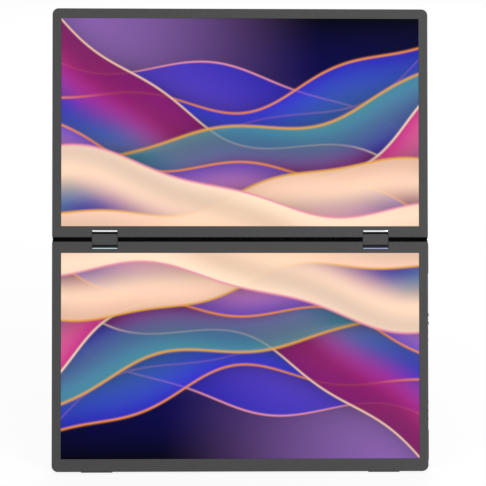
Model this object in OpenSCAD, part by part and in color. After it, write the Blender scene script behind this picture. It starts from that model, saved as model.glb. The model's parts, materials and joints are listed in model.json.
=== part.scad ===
// Folding twin-screen laptop extender: two stacked screens on a pair of twin-shaft hinges, with a leaf stand.
// Each screen is drawn upright with its face at y = 0 and the fold line at z = 0, the lower one as a mirror
// image; placed() then leans the whole object back and stands it on z = 0.

/* [Screens] */
// Width of the visible picture
opening_w = 343.6; // [320:0.1:360]
// Height of each screen's casing, from the fold line's bezel edge to the outer edge
panel_h = 220.2; // [210:0.1:240]
// Thickness of each screen
panel_t = 6.8; // [6.8:0.1:8]
// Bezel left and right of the picture
side_bezel = 8.7; // [8.3:0.1:12]
// Bezel above the upper picture
upper_outer_bezel = 9.4; // [9:0.1:14]
// Bezel between the upper picture and the fold
upper_hinge_bezel = 10.7; // [10:0.1:14]
// Bezel below the lower picture
lower_outer_bezel = 12.2; // [9:0.1:16]
// Bezel between the lower picture and the fold
lower_hinge_bezel = 10.9; // [10:0.1:14]
// Corner radius at the outer edge
outer_corner_r = 6; // [3:0.1:8]
// Corner radius at the fold
inner_corner_r = 1.1; // [1:0.1:3]
// Rounding of the front edges
front_round = 1; // [0.9:0.05:1.2]
// Rounding of the back edges
back_round = 2; // [1.5:0.1:2.2]

/* [Shells] */
// Thickness of the bezel over the glass
lip_t = 0.6; // [0.5:0.05:0.8]
// Thickness of the side walls
wall_t = 1.2; // [1:0.1:1.3]
// Thickness of the back skin
skin_t = 1; // [0.8:0.05:1.1]
// Depth of the seam between bezel and back cover
seam_y = 2.4; // [2.2:0.05:2.45]
// Gap along that seam
seam_gap = 0.15; // [0.1:0.05:0.3]
// Thickness of the glass cell
glass_t = 1.2; // [1:0.05:1.3]
// Thickness of the backlight
backlight_t = 1.5; // [1.2:0.05:1.55]
// How far the glass reaches behind the bezel
glass_hidden = 2.5; // [1.5:0.1:2.6]
// Thickness of the circuit boards
board_t = 0.8; // [0.6:0.05:1]

/* [Fold] */
// Front gap between the two bezels
fold_gap = 4; // [3.8:0.1:4.4]
// Slit left between the two rolled edges
roll_slit = 0.5; // [0.5:0.05:0.8]
// How far the rolled edges stop short of the sides
roll_inset = 0.4; // [0.3:0.1:4]
// From the sides to the middle of each hinge
hinge_inset = 50.5; // [36:0.5:70]
// Width of each hinge notch
notch_w = 24.7; // [22:0.1:30]
// Width of the hinge knuckle
knuckle_w = 24.3; // [20:0.1:24.3]
// Radius of the knuckle's round ends
knuckle_r = 2.65; // [2.6:0.05:2.7]
// Radius of the hinge shafts
shaft_r = 1.2; // [1:0.05:1.3]
// Running clearance of shafts and pins in their bores
running_gap = 0.05; // [0.03:0.01:0.08]
// Half height of the knuckle's painted face
knuckle_face = 5.4; // [4.9:0.1:5.5]
// Height of the upper bright trims
upper_trim_h = 1.7; // [1.5:0.1:2.4]
// Height of the lower bright trims
lower_trim_h = 1.3; // [1.1:0.1:2.1]
// From the fold line to the upper trims
upper_trim_s = 7.2; // [6.6:0.1:7.4]
// From the fold line to the lower trims
lower_trim_s = 8; // [6.6:0.1:8.2]
// How far each hinge turns when the screens fold back
fold_back = 60; // [40:1:60]

/* [Stand] */
// Lean of the screens on the open stand
lean = 20; // [16:0.5:24]
// Width of the stand's leaf
leaf_w = 150; // [130:1:160]
// From the leaf's hinge axis to its foot
leaf_len = 185; // [170:0.5:200]
// Thickness of the leaf
leaf_t = 1.2; // [1:0.05:1.2]
// From the shut leaf's foot to the lower edge
leaf_margin = 5; // [4:0.5:6]
// Distance of the leaf's hinges from the middle
leaf_hinge_x = 50; // [40:1:55]
// Radius of the leaf's hinge barrels
leaf_barrel_r = 1.35; // [1.25:0.05:1.35]
// Radius of the leaf's hinge pins
leaf_pin_r = 0.6; // [0.5:0.05:0.65]

/* [Feet] */
// From the sides to the middle of each foot
foot_inset = 43; // [30:0.5:60]
// Length of each rubber foot and pad
foot_w = 30; // [20:0.5:40]
// How far the feet stand out of the lower edge
foot_proud = 0.65; // [0.5:0.05:1]
// How far the pads stand out of the right side
pad_proud = 0.38; // [0.2:0.02:0.5]

/* [Buttons and ports] */
// Length of each button
button_l = 3; // [2.5:0.1:4]
// Width of each button
button_h = 1.6; // [1.4:0.1:1.8]
// Travel of each button
button_travel = 0.25; // [0.15:0.05:0.25]
// How far the power and menu buttons stand out
tall_button = 0.8; // [0.3:0.05:1]
// How far the other buttons stand out
low_button = 0.45; // [0.1:0.05:0.6]
// Distance between two buttons of a row
button_pitch = 8; // [6:0.1:9]
// From the fold line to the first row's first button
first_row_s = 72.5; // [66:0.5:74]
// From the second row's first button to the lower edge
second_row_up = 66; // [62:0.5:68]
// Distance between two ports
port_pitch = 15; // [14:0.5:16]
// From the first port to the lower edge
port_up = 93; // [92:0.5:96]

/* [Hidden] */

$fn = 48;
over = 1; // how far a cutter runs past what it cuts
fit = 0.05; // gap between stacked inner pieces
seat_gap = 0.1; // gap between a board and what it lies on
cable_gap = 0.2; // gap between two lengths of the cable
loose = 0.15; // gap round a button or a shaft in a casing's hole

// Outer form of one screen
panel_w = opening_w + 2 * side_bezel;
half_w = panel_w / 2;
near_s = fold_gap / 2;
far_s = near_s + panel_h;
inner_x = half_w - wall_t;
inner_near = near_s + wall_t;
inner_far = far_s - wall_t;
hinge_x = half_w - hinge_inset;
skin_y = panel_t - skin_t;

// Fold axes: each runs along its screen's rolled edge, at half the thickness
axis_y = panel_t / 2;
axis_s = (panel_t + roll_slit) / 2;
roll_r = panel_t / 2;
swing_r = upper_trim_s - axis_s;
well_wall_s = upper_trim_s + 1;
well_inset = 0.3; // the wells stop this far below the back
well_start = 1; // and start this far past the fold axis
trim_t = 1.2;
trim_inset = 0.05;
trim_edge = 0.5;
trim_seat = 0.6; // thickness of the seat under a trim
trim_rim = 0.4; // how far the seat goes past the trim
barrel_wall = 0.65;
barrel_r = shaft_r + barrel_wall;
barrel_room_r = barrel_r + seat_gap;
bracket_w = 20;
bracket_t = 1;
bracket_h = 5.7;
cable_r = 0.8;
cable_out = 20; // from the hinge's middle out to the cable's bend
cable_bend = 3; // the cable turns back this far before the picture

// Screws: the bezel's bosses take them, and their heads lie just below the back
screw_r = 0.7;
screw_head_r = 1.3;
screw_head_t = 0.5;
head_seat_y = panel_t - screw_head_t - seat_gap;
cross_l = 1.4;
cross_w = 0.35;
cross_deep = 0.25;
boss_r = 1.7;
boss_space = 0.6; // between a boss and the outer wall
boss_lap = 0.8; // the cover's bosses reach this far in
pilot_y = lip_t + 0.5;
screw_y = pilot_y + 0.3;
cover_screw_s = [18, 112, far_s - 14]; // up both sides
cover_screw_x = 90; // along the outer edge
bracket_screw_s = near_s + 5.2;
bracket_screw_out = [4, 10, 16]; // from the notch's side

// Stack behind the bezel
glass_y = lip_t + fit;
backlight_y = glass_y + glass_t + fit;
stack_y = backlight_y + backlight_t;
board_y = stack_y + seat_gap;
flex_t = 0.25;
flex_inset = 0.4; // the ribbon leaves the glass this far behind its face
flex_w = 14;
flex_tail = 6; // how far the ribbon lies under the driver board
driver_board_y = stack_y + seat_gap + flex_t;
driver_board_w = 62;
driver_board_h = 14;
driver_board_space = 5; // from the cable to the driver board
driver_board_x = cable_r + driver_board_space - hinge_x - cable_out;
driver_chip_x = [12, 28, 48];
flex_space = 1.5; // from the left bracket to the ribbon
flex_x = notch_w / 2 + bracket_w - hinge_x + flex_space;
driver_chip = [10, 0.6, 8];
backlight_hidden = 0.6;
glass_w = opening_w + 2 * glass_hidden;

// Stand
leaf_s = far_s - leaf_margin - leaf_len;
leaf_inset = 0.2; // the closed leaf lies this far below the back
leaf_y = panel_t - leaf_inset - leaf_barrel_r;
leaf_in = leaf_barrel_r - leaf_t; // from the hinge axis out to the leaf's inner face
recess_gap = 0.2;
recess_y = leaf_y + leaf_in - recess_gap;
recess_floor_t = 0.8;
recess_side = 0.5;
leaf_corner_r = 6;
leaf_hinge_w = 24;
leaf_ear_t = 2;
pad_r = leaf_t / 2 + 0.1;
pad_h = 3;
leaf_mid = leaf_in + leaf_t / 2;
finger_r = 9;

// Feet: the facet at the back of each foot lies on the table
facet_y = 4.5;
foot_back = 0.4;
foot_x = half_w - foot_inset;
foot_far = far_s + foot_proud;
foot_up = 5;
foot_front = 0.8;
foot_bite = 0.5; // how far the foot's outline runs into the casing before it is cut
table_h = facet_y * sin(lean) + foot_far * cos(lean);
foot_reach = table_h - pad_r - leaf_y * sin(lean) - leaf_s * cos(lean);
leaf_arm = sqrt(leaf_len * leaf_len + leaf_mid * leaf_mid);
leaf_open = lean + acos(foot_reach / leaf_arm) - atan(leaf_mid / leaf_len);

// Origin: the middle of the standing object's footprint box
front_reach = front_round - (front_round * cos(lean) - (far_s - front_round) * sin(lean));
back_reach = back_round + (panel_t - back_round) * cos(lean) + (far_s - back_round) * sin(lean);
origin_y = (front_reach - back_reach) / 2;
origin_x = -max(tall_button, low_button, pad_proud) / 2;

// Buttons and ports
button_y = 3.6;
button_flange = 0.5;
button_flange_t = 0.7;
button_stem = 0.4;
button_stem_w = 1;
switch_t = 0.8;
switch_w = [2.2, 2.6];
plunger_in = half_w - wall_t - loose - button_flange_t - button_stem;
button_board_end = 5; // how far each button board runs past its last switch
button_board_x = plunger_in - button_travel - fit - switch_t - board_t;
port_y = 4.05;
port_in = 0.4; // the sockets' mouths lie this far inside the casing
port_depth = 7;
usb_c_w = 8.94;
usb_c_h = 3.16;
usb_c_tongue = [6.6, 0.7];
hdmi_w = 11.2;
hdmi_h = 3.1;
hdmi_tongue = [8, 0.6];
hdmi_corner = [1, 1.2]; // the cut at each front corner
hdmi_extra = 1;
port_s = far_s - port_up;
hdmi_s = port_s + 2 * port_pitch + hdmi_extra;
socket_wall = 0.3;

bezel_grey = [0.31, 0.31, 0.31];
roll_black = [0.06, 0.06, 0.065];
steel = [0.62, 0.63, 0.65];
bright = [0.9, 0.92, 0.94];
board_green = [0.07, 0.25, 0.16];
rubber_black = [0.1, 0.1, 0.1];

// ---- helpers ----

module placed() translate([origin_x, origin_y, table_h]) rotate([-lean, 0, 0]) children();

module upper() placed() children();

module lower() placed() mirror([0, 0, 1]) children();

module block(x, y, z) translate([x[0], y[0], z[0]]) cube([x[1] - x[0], y[1] - y[0], z[1] - z[0]]);

// A rod along x
module rod_x(x, y, z, r) translate([x[0], y, z]) rotate([0, 90, 0]) cylinder(h = x[1] - x[0], r = r);

// A rod along y
module rod_y(x, y, z, r) translate([x, y[0], z]) rotate([-90, 0, 0]) cylinder(h = y[1] - y[0], r = r);

// A y-z outline drawn out along x
module along_x(x, outline) translate([x[0], 0, 0]) rotate([90, 0, 90])
  linear_extrude(height = x[1] - x[0]) polygon(outline);

function around(middle, half) = [middle - half, middle + half];

function span(start, length) = [start, start + length];

function arc(c, r, from, to, steps) =
  [for (i = [0:steps]) c + r * [cos(from + (to - from) * i / steps), sin(from + (to - from) * i / steps)]];

// ---- one screen's casing ----

// A corner of the casing, with its front and back edges rounded
module corner(x, s, r) {
  front_r = min(front_round, r - 0.1);
  back_r = min(back_round, r - 0.1);
  translate([x, 0, s]) rotate([-90, 0, 0]) rotate_extrude()
    polygon(concat([[0, 0]], arc([r - front_r, front_r], front_r, -90, 0, 6),
                   arc([r - back_r, panel_t - back_r], back_r, 0, 90, 6), [[0, panel_t]]));
}

module outer_form() hull() for (side = [-1, 1]) {
  corner(side * (half_w - inner_corner_r), near_s + inner_corner_r, inner_corner_r);
  corner(side * (half_w - outer_corner_r), far_s - outer_corner_r, outer_corner_r);
}

// The hollow of a casing, with its outer corners rounded in step with the outside
module hollow(y) {
  r = outer_corner_r - wall_t;
  block(around(0, inner_x), y, [inner_near, inner_far - r]);
  block(around(0, inner_x - r), y, [inner_near, inner_far]);
  for (side = [-1, 1]) rod_y(side * (inner_x - r), y, inner_far - r, r);
}

// Places of the screws that hold a back cover: along both sides and the outer edge
screw_x = (half_w - wall_t + glass_w / 2) / 2;
function cover_screw_places() = concat(
  [for (side = [-1, 1], s = cover_screw_s) [side * screw_x, s]],
  [for (side = [-1, 1]) [side * cover_screw_x, inner_far - boss_r - boss_space]]);
function bracket_screw_places(side) =
  [for (d = bracket_screw_out) [side * (hinge_x - notch_w / 2 - d), bracket_screw_s]];
cover_boss_y = skin_y - boss_lap;

module at_hinges() for (side = [-1, 1]) translate([side * hinge_x, 0, 0]) children();

// What the notches, shafts and bracket barrels need cut out of a casing
module hinge_room(trim_far) {
  at_hinges() {
    block(around(0, notch_w / 2), [-over, panel_t + over], [-over, well_wall_s]);
    block(around(0, notch_w / 2), [-over, trim_t], [-over, trim_far]);
  }
  for (side = [-1, 1]) shaft_room(side);
}

module shaft_room(side) {
  mirror([side < 0 ? 1 : 0, 0, 0]) {
    rod_x([hinge_x - notch_w / 2 - bracket_w - seat_gap, hinge_x], axis_y, axis_s, barrel_room_r);
    rod_x([hinge_x, hinge_x + cable_out + cable_r + seat_gap], axis_y, axis_s, shaft_r + seat_gap);
  }
}

module notch_walls(y) at_hinges()
  block(around(0, notch_w / 2 + wall_t), y, [near_s + loose, well_wall_s + wall_t]);

module bezel(hinge_bezel, outer_bezel, trim_far) color(bezel_grey) difference() {
  union() {
    difference() {
      intersection() {
        outer_form();
        block(around(0, panel_w), [-over, seam_y - seam_gap], [0, far_s + over]);
      }
      hollow([lip_t, panel_t]);
    }
    notch_walls([lip_t / 2, seam_y]);
    at_hinges() block(around(0, notch_w / 2 + wall_t), [lip_t / 2, trim_t + trim_seat],
                      [well_wall_s, trim_far + trim_rim]);
    for (p = cover_screw_places()) rod_y(p[0], [lip_t / 2, cover_boss_y - fit], p[1], boss_r);
    for (side = [-1, 1], p = bracket_screw_places(side))
      rod_y(p[0], [lip_t / 2, board_y - fit], p[1], boss_r);
  }
  block(around(0, opening_w / 2), [-over, panel_t], [near_s + hinge_bezel, far_s - outer_bezel]);
  hinge_room(trim_far);
  for (p = cover_screw_places()) rod_y(p[0], [pilot_y, panel_t], p[1], screw_r + fit);
  for (side = [-1, 1], p = bracket_screw_places(side))
    rod_y(p[0], [pilot_y, panel_t], p[1], screw_r + fit);
}

module back_cover() difference() {
  union() {
    difference() {
      intersection() {
        outer_form();
        block(around(0, panel_w), [seam_y, panel_t + over], [0, far_s + over]);
      }
      hollow([0, skin_y]);
    }
    notch_walls([seam_y, skin_y + skin_t / 2]);
    for (p = cover_screw_places()) rod_y(p[0], [cover_boss_y, skin_y + skin_t / 2], p[1], boss_r);
    children(0);
  }
  hinge_room(0);
  for (p = cover_screw_places()) {
    rod_y(p[0], [0, panel_t + over], p[1], screw_r + loose);
    rod_y(p[0], [head_seat_y, panel_t + over], p[1], screw_head_r + loose);
  }
  children(1);
}

// A row of air slots in the back skin, over a board
vent_count = 12;
vent_pitch = 3.8;
vent_w = 1.2;
vent_l = 10;
module vents(x, s) for (i = [0:vent_count - 1])
  block(around(x + (i - (vent_count - 1) / 2) * vent_pitch, vent_w / 2), [skin_y - over, panel_t + over],
        around(s, vent_l / 2));

module display(hinge_bezel, outer_bezel) color([0.05, 0.04, 0.1])
  block(around(0, glass_w / 2), span(glass_y, glass_t),
        [near_s + hinge_bezel - glass_hidden, far_s - outer_bezel + glass_hidden]);

module backlight(hinge_bezel, outer_bezel) color([0.85, 0.87, 0.9])
  block(around(0, opening_w / 2 + backlight_hidden), span(backlight_y, backlight_t),
        [near_s + hinge_bezel - backlight_hidden, far_s - outer_bezel + backlight_hidden]);

// The ribbon runs from the glass edge round the backlight to the underside of the driver board
module display_flex(hinge_bezel) color([0.75, 0.45, 0.15]) {
  x = span(flex_x, flex_w);
  s = near_s + hinge_bezel - glass_hidden;
  block(x, span(glass_y + flex_inset, flex_t), [s - 2 * flex_t, s]);
  block(x, [glass_y + flex_inset + flex_t, stack_y + fit], span(s - 2 * flex_t, flex_t));
  block(x, span(stack_y + fit, flex_t), [s - 2 * flex_t, s + flex_tail]);
}

module driver_board(hinge_bezel) color(board_green) {
  s = near_s + hinge_bezel;
  block(span(driver_board_x, driver_board_w), span(driver_board_y, board_t), span(s, driver_board_h));
  for (x = driver_chip_x)
    block(around(driver_board_x + x, driver_chip[0] / 2), span(driver_board_y + board_t, driver_chip[1]),
          around(s + driver_board_h / 2, driver_chip[2] / 2));
}

// A half-round edge, turned about the fold axis, so that the two screens roll past each other
module edge_roll() color(roll_black) difference() {
  intersection() {
    rod_x(around(0, half_w - roll_inset), axis_y, axis_s, roll_r);
    block(around(0, half_w), [-over, panel_t + over], [-over, near_s]);
  }
  hinge_room(0);
}

// The room that the knuckle sweeps, seen from a screen that folds flat forward and fold_back backward
module swing_room(x) {
  wrap = 90 - fold_back;
  tangent = [axis_y + swing_r * sin(wrap), axis_s + swing_r * cos(wrap)];
  reach = 2 * panel_t;
  rod_x(x, axis_y, axis_s, swing_r);
  block(x, [-reach, axis_y], [-reach, axis_s + swing_r]);
  along_x(x, [[axis_y, axis_s], tangent, tangent + reach * [cos(wrap), -sin(wrap)],
              [axis_y + reach, -reach], [axis_y, -reach]]);
}

module hinge_wells() color(roll_black) at_hinges() difference() {
  block(around(0, notch_w / 2), [trim_t, panel_t - well_inset], [axis_s + well_start, well_wall_s]);
  swing_room(around(0, notch_w));
}

module trims(trim_s, trim_h) color(bright) at_hinges() difference() {
  block(around(0, notch_w / 2), [trim_inset, trim_t], span(trim_s, trim_h));
  translate([0, 0, trim_s]) rotate([45, 0, 0]) cube([notch_w + over, trim_edge, trim_edge], center = true);
}

// A barrel clamped on the shaft, with a tab screwed to the bezel
module bracket(side) color(steel) {
  x = [hinge_x - notch_w / 2 - bracket_w, hinge_x - notch_w / 2 - fit];
  mirror([side < 0 ? 1 : 0, 0, 0]) difference() {
    union() {
      rod_x(x, axis_y, axis_s, barrel_r);
      block([x[0], x[1] - wall_t - seat_gap], span(board_y, bracket_t), span(axis_s, bracket_h));
    }
    rod_x(x + [-over, over], axis_y, axis_s, shaft_r);
    for (p = bracket_screw_places(1)) rod_y(p[0], [0, panel_t], p[1], screw_r + loose);
  }
}

// A shaft runs from the bracket through the link block to a flange in the knuckle's cable chamber
module shaft(side) color(steel) mirror([side < 0 ? 1 : 0, 0, 0]) {
  end = hinge_x + block_end + washer_t + 2 * fit;
  rod_x([hinge_x - notch_w / 2 - bracket_w, end + flange_t / 2], axis_y, axis_s, shaft_r);
  rod_x(span(end, flange_t), axis_y, axis_s, washer_r);
}

module bracket_screws() color(steel) for (side = [-1, 1], p = bracket_screw_places(side)) {
  rod_y(p[0], [screw_y, board_y + bracket_t + fit], p[1], screw_r);
  rod_y(p[0], span(board_y + bracket_t, screw_head_t), p[1], screw_head_r);
}

module cover_screws() color(steel) for (p = cover_screw_places()) difference() {
  union() {
    rod_y(p[0], [screw_y, head_seat_y + fit], p[1], screw_r);
    rod_y(p[0], span(head_seat_y, screw_head_t), p[1], screw_head_r);
  }
  for (turn = [0, 90]) translate([p[0], head_seat_y + screw_head_t, p[1]]) rotate([0, turn, 0])
    cube([cross_l, 2 * cross_deep, cross_w], center = true);
}

// ---- upper screen ----

module upper_bezel() upper() bezel(upper_hinge_bezel, upper_outer_bezel, upper_trim_s + upper_trim_h);
module upper_display() upper() display(upper_hinge_bezel, upper_outer_bezel);
module upper_backlight() upper() backlight(upper_hinge_bezel, upper_outer_bezel);
module upper_display_flex() upper() display_flex(upper_hinge_bezel);
module upper_driver_board() upper() driver_board(upper_hinge_bezel);
module upper_back_cover() color(bezel_grey) upper() back_cover() {
  union() {}
  vents(driver_board_x + driver_board_w / 2, near_s + upper_hinge_bezel + driver_board_h / 2);
}
module upper_edge_roll() upper() edge_roll();
module upper_hinge_wells() upper() hinge_wells();
module upper_trims() upper() trims(upper_trim_s, upper_trim_h);
module upper_left_bracket() upper() bracket(-1);
module upper_right_bracket() upper() bracket(1);
module upper_left_shaft() upper() shaft(-1);
module upper_right_shaft() upper() shaft(1);
module upper_bracket_screws() upper() bracket_screws();
module upper_cover_screws() upper() cover_screws();

// ---- lower screen ----

module lower_bezel() lower() bezel(lower_hinge_bezel, lower_outer_bezel, lower_trim_s + lower_trim_h);
module lower_display() lower() display(lower_hinge_bezel, lower_outer_bezel);
module lower_backlight() lower() backlight(lower_hinge_bezel, lower_outer_bezel);
module lower_display_flex() lower() display_flex(lower_hinge_bezel);
module lower_driver_board() lower() driver_board(lower_hinge_bezel);
module lower_back_cover() color(bezel_grey) lower() back_cover() {
  stand_recess_floor();
  union() {
    stand_recess();
    button_holes();
    port_holes();
    speaker_slots();
    vents(driver_board_x + driver_board_w / 2, near_s + lower_hinge_bezel + driver_board_h / 2);
    vents(board_x + board_w / 2, port_s + port_pitch);
  }
}
module lower_edge_roll() lower() edge_roll();
module lower_hinge_wells() lower() hinge_wells();
module lower_trims() lower() trims(lower_trim_s, lower_trim_h);
module lower_left_bracket() lower() bracket(-1);
module lower_right_bracket() lower() bracket(1);
module lower_left_shaft() lower() shaft(-1);
module lower_right_shaft() lower() shaft(1);
module lower_bracket_screws() lower() bracket_screws();
module lower_cover_screws() lower() cover_screws();

// ---- hinge links ----

// Two round ends on the fold axes with flats between them
module stadium(x, r) {
  rod_x(x, axis_y, axis_s, r);
  rod_x(x, axis_y, -axis_s, r);
  block(x, around(axis_y, r), [-axis_s, axis_s]);
}

module shaft_bores(x, r) for (side = [-1, 1]) rod_x(x, axis_y, side * axis_s, r);

link_wall = 0.6;
link_end = 0.8;
washer_t = 0.4;
cavity_x = knuckle_w / 2 - link_end;
block_x = cavity_x - washer_t - fit;
block_end = 5; // the block stops here, so that the cable can cross the knuckle
washer_rim = 0.55;
washer_r = shaft_r + washer_rim;
flange_t = 0.5;
link_screw_x = 3.5;
link_screw_r = 0.5;
link_screw_head_r = 1;
link_screw_head_t = 0.35;

module link_block(side) color(roll_black) placed() translate([side * hinge_x, 0, 0]) difference() {
  union() {
    link_sided(side) stadium([-block_x, block_end], knuckle_r - link_wall - fit);
    difference() {
      stadium(around(0, knuckle_w / 2), knuckle_r - loose);
      block(around(0, knuckle_w), [-over, panel_t + over], (knuckle_face + fit) * [-1, 1]);
    }
  }
  shaft_bores(around(0, knuckle_w), shaft_r + running_gap);
  link_sided(side) {
    shaft_bores([-cavity_x, -block_x], washer_r + fit);
    shaft_bores([block_end, cavity_x], washer_r + fit);
  }
  for (x = [-1, 1]) rod_y(x * link_screw_x, [0, panel_t], 0, link_screw_r + fit);
}

module link_sided(side) mirror([side < 0 ? 1 : 0, 0, 0]) children();

module link_cover(side, y) color(bezel_grey) placed() translate([side * hinge_x, 0, 0]) difference() {
  intersection() {
    stadium(around(0, knuckle_w / 2), knuckle_r);
    block(around(0, knuckle_w), y, knuckle_face * [-1, 1]);
  }
  stadium(around(0, cavity_x), knuckle_r - link_wall);
  shaft_bores(around(0, knuckle_w), shaft_r + loose);
  children();
}

module link_front_cover(side) link_cover(side, [0, axis_y]);

module link_back_cover(side) link_cover(side, [axis_y, panel_t])
  for (x = [-1, 1]) rod_y(x * link_screw_x, [axis_y, panel_t], 0, link_screw_r + fit);

module left_link_block() link_block(-1);
module right_link_block() link_block(1);
module left_link_front_cover() link_front_cover(-1);
module right_link_front_cover() link_front_cover(1);
module left_link_back_cover() link_back_cover(-1);
module right_link_back_cover() link_back_cover(1);

module friction_washers() color(steel) placed()
  for (side = [-1, 1], x = [-block_x - washer_t - fit / 2, block_end + fit]) link_sided(side) difference() {
    shaft_bores(span(hinge_x + x, washer_t), washer_r);
    shaft_bores(around(hinge_x, knuckle_w), shaft_r + running_gap);
  }

// ---- the cable between the screens, in three lengths that meet on the left hinge's axes ----

module cable(points) {
  for (i = [0:len(points) - 2]) {
    d = points[i + 1] - points[i];
    translate(points[i]) rotate([0, acos(d[2] / norm(d)), atan2(d[1], d[0])])
      cylinder(h = norm(d), r = cable_r);
  }
  for (i = [1:len(points) - 2]) translate(points[i]) sphere(r = cable_r + 0.02);
}

cable_x = -hinge_x - cable_out;
cable_y = board_y + fit + cable_r;
cable_end = -hinge_x - cavity_x + cable_gap;
cable_start = [
  [cable_end, axis_y, axis_s],
  [cable_x, axis_y, axis_s],
  [cable_x, cable_y, near_s + upper_hinge_bezel - cable_bend]];

// The turn off to a screen's driver board
function board_lead(hinge_bezel) = let (s = near_s + hinge_bezel + driver_board_h / 2)
  [[cable_x, cable_y, s], [driver_board_x, cable_y, s]];

module upper_harness() color(rubber_black) upper() cable(concat(cable_start, board_lead(upper_hinge_bezel)));

module lower_harness() color(rubber_black) lower() {
  cable(concat(cable_start, [[cable_x, cable_y, board_s[0]]]));
  cable(board_lead(lower_hinge_bezel));
}

module link_harness() color(rubber_black) placed() {
  x = cable_end + cable_gap;
  bend = -hinge_x - (block_end + washer_t + 2 * fit + flange_t + cavity_x) / 2;
  cable([[x, axis_y, axis_s], [bend, axis_y, axis_s], [bend, axis_y, -axis_s], [x, axis_y, -axis_s]]);
}

module link_screws() color(steel) placed() at_hinges() for (x = [-1, 1]) {
  rod_y(x * link_screw_x, [axis_y - knuckle_r + link_wall + fit, axis_y + knuckle_r], 0, link_screw_r);
  rod_y(x * link_screw_x, span(axis_y + knuckle_r, link_screw_head_t), 0, link_screw_head_r);
}

// Slim strips behind the slit between the rolled edges, so that no light comes through
strip_w = 1.2;
strip_t = 0.9;
strip_root_w = 0.66;
strip_y = panel_t - 0.9;
module gap_strips() color(roll_black) placed() {
  ends = [hinge_x - knuckle_w / 2, hinge_x + knuckle_w / 2, half_w - roll_inset];
  for (x = [[-ends[0], ends[0]], [ends[1], ends[2]], [-ends[2], -ends[1]]])
    along_x(x, [[strip_y, -strip_w / 2], [strip_y, strip_w / 2],
                [strip_y - strip_t, strip_root_w / 2], [strip_y - strip_t, -strip_root_w / 2]]);
}

// ---- stand ----

recess_x = (leaf_w / 2 + recess_side) * [-1, 1];
recess_s = [leaf_s - leaf_barrel_r - recess_side, leaf_s + leaf_len + pad_r + recess_side];

floor_rim = 0.8;
finger_up = 30; // from the leaf's foot to its finger scallops
finger_s = leaf_s + leaf_len - finger_up;

module finger_scallops(y, r) for (side = [-1, 1]) rod_y(side * leaf_w / 2, y, finger_s, r);

module stand_recess_floor() {
  y = [recess_y - recess_floor_t, skin_y + skin_t / 2];
  block(recess_x + floor_rim * [-1, 1], y, recess_s + floor_rim * [-1, 1]);
  finger_scallops(y, finger_r + floor_rim);
}

module at_leaf_hinges() for (side = [-1, 1]) translate([side * leaf_hinge_x, 0, 0]) children();

leaf_room = leaf_barrel_r + 0.35;
ear_gap = 0.2;
ear_r = leaf_barrel_r - 0.1;
ear_x = leaf_hinge_w / 2 + ear_gap;
bracket_tab_h = 10;
module stand_recess() {
  block(recess_x, [recess_y, panel_t + over], recess_s);
  finger_scallops([recess_y, panel_t + over], finger_r);
  at_leaf_hinges()
    block(around(0, ear_x + leaf_ear_t + ear_gap), [0, panel_t + over], around(leaf_s, leaf_room));
}

// Each hinge has two ears on a tab that lies under the recess floor
module stand_brackets() color(steel) lower() at_leaf_hinges() difference() {
  tab_y = [stack_y + seat_gap, recess_y - recess_floor_t - fit];
  union() {
    for (end = [-1, 1]) {
      x = around(end * (ear_x + leaf_ear_t / 2), leaf_ear_t / 2);
      rod_x(x, leaf_y, leaf_s, ear_r);
      block(x, [tab_y[0], leaf_y], span(leaf_s, ear_r));
      block(x, tab_y, span(leaf_s, leaf_room + ear_r));
    }
    block(around(0, ear_x + leaf_ear_t), tab_y, span(leaf_s + leaf_room + recess_gap, bracket_tab_h));
  }
  rod_x(around(0, leaf_w), leaf_y, leaf_s, leaf_pin_r);
}

module stand_pins() color(bright) lower() at_leaf_hinges()
  rod_x(around(0, ear_x + leaf_ear_t), leaf_y, leaf_s, leaf_pin_r);

// The leaf and its foot, drawn shut in the recess and swung out to the table
module opened() lower() translate([0, leaf_y, leaf_s]) rotate([-leaf_open, 0, 0]) children();

module stand_leaf() color([0.25, 0.25, 0.26]) opened() difference() {
  y = [leaf_in, leaf_barrel_r];
  end = leaf_len - pad_h;
  corner_x = leaf_w / 2 - leaf_corner_r;
  union() {
    block(around(0, leaf_w / 2), y, [leaf_barrel_r, end - leaf_corner_r]);
    block(around(0, corner_x), y, [leaf_barrel_r, end]);
    for (side = [-1, 1]) rod_y(side * corner_x, y, end - leaf_corner_r, leaf_corner_r);
    at_leaf_hinges() {
      rod_x(around(0, leaf_hinge_w / 2), 0, 0, leaf_barrel_r);
      block(around(0, leaf_hinge_w / 2), y, [0, 2 * leaf_barrel_r]);
    }
  }
  rod_x(around(0, leaf_w), 0, 0, leaf_pin_r + running_gap);
}

module stand_foot_pad() color(rubber_black) opened() {
  x = around(0, leaf_w / 2 - leaf_corner_r);
  block(x, around(leaf_mid, pad_r), [leaf_len - pad_h, leaf_len]);
  rod_x(x, leaf_mid, leaf_len, pad_r);
}

// ---- feet and pads ----

// Each foot wraps the lower edge; its back facet is level when the screens lean on the stand
module edge_feet() color(rubber_black) lower() difference() {
  facet_back = foot_far - (panel_t + foot_back - facet_y) * tan(lean);
  for (side = [-1, 1]) along_x(around(side * foot_x, foot_w / 2), [
    [foot_front, far_s - foot_bite], [foot_front, foot_far], [facet_y, foot_far],
    [panel_t + foot_back, facet_back], [panel_t + foot_back, far_s - foot_up],
    [panel_t - foot_bite, far_s - foot_up]
  ]);
  outer_form();
}

pad_l = foot_w - 1;
pad_near = 1.8;
pad_far = 10.5;
pad_s = [near_s + pad_near, far_s - pad_far - pad_l];
pad_y = [front_round + 0.4, panel_t - back_round - 0.2];
module side_pads() color(rubber_black) lower()
  for (s = pad_s) block(span(half_w, pad_proud), pad_y, span(s, pad_l));

// ---- electronics ----

board_x = -(opening_w / 2 + backlight_hidden) + 0.2;
board_before = 30; // how far the board runs past the first port, both ways
board_after = 55;
board_s = [port_s - board_before, port_s + board_after];
board_w = 66;
chip_t = 0.7;
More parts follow.
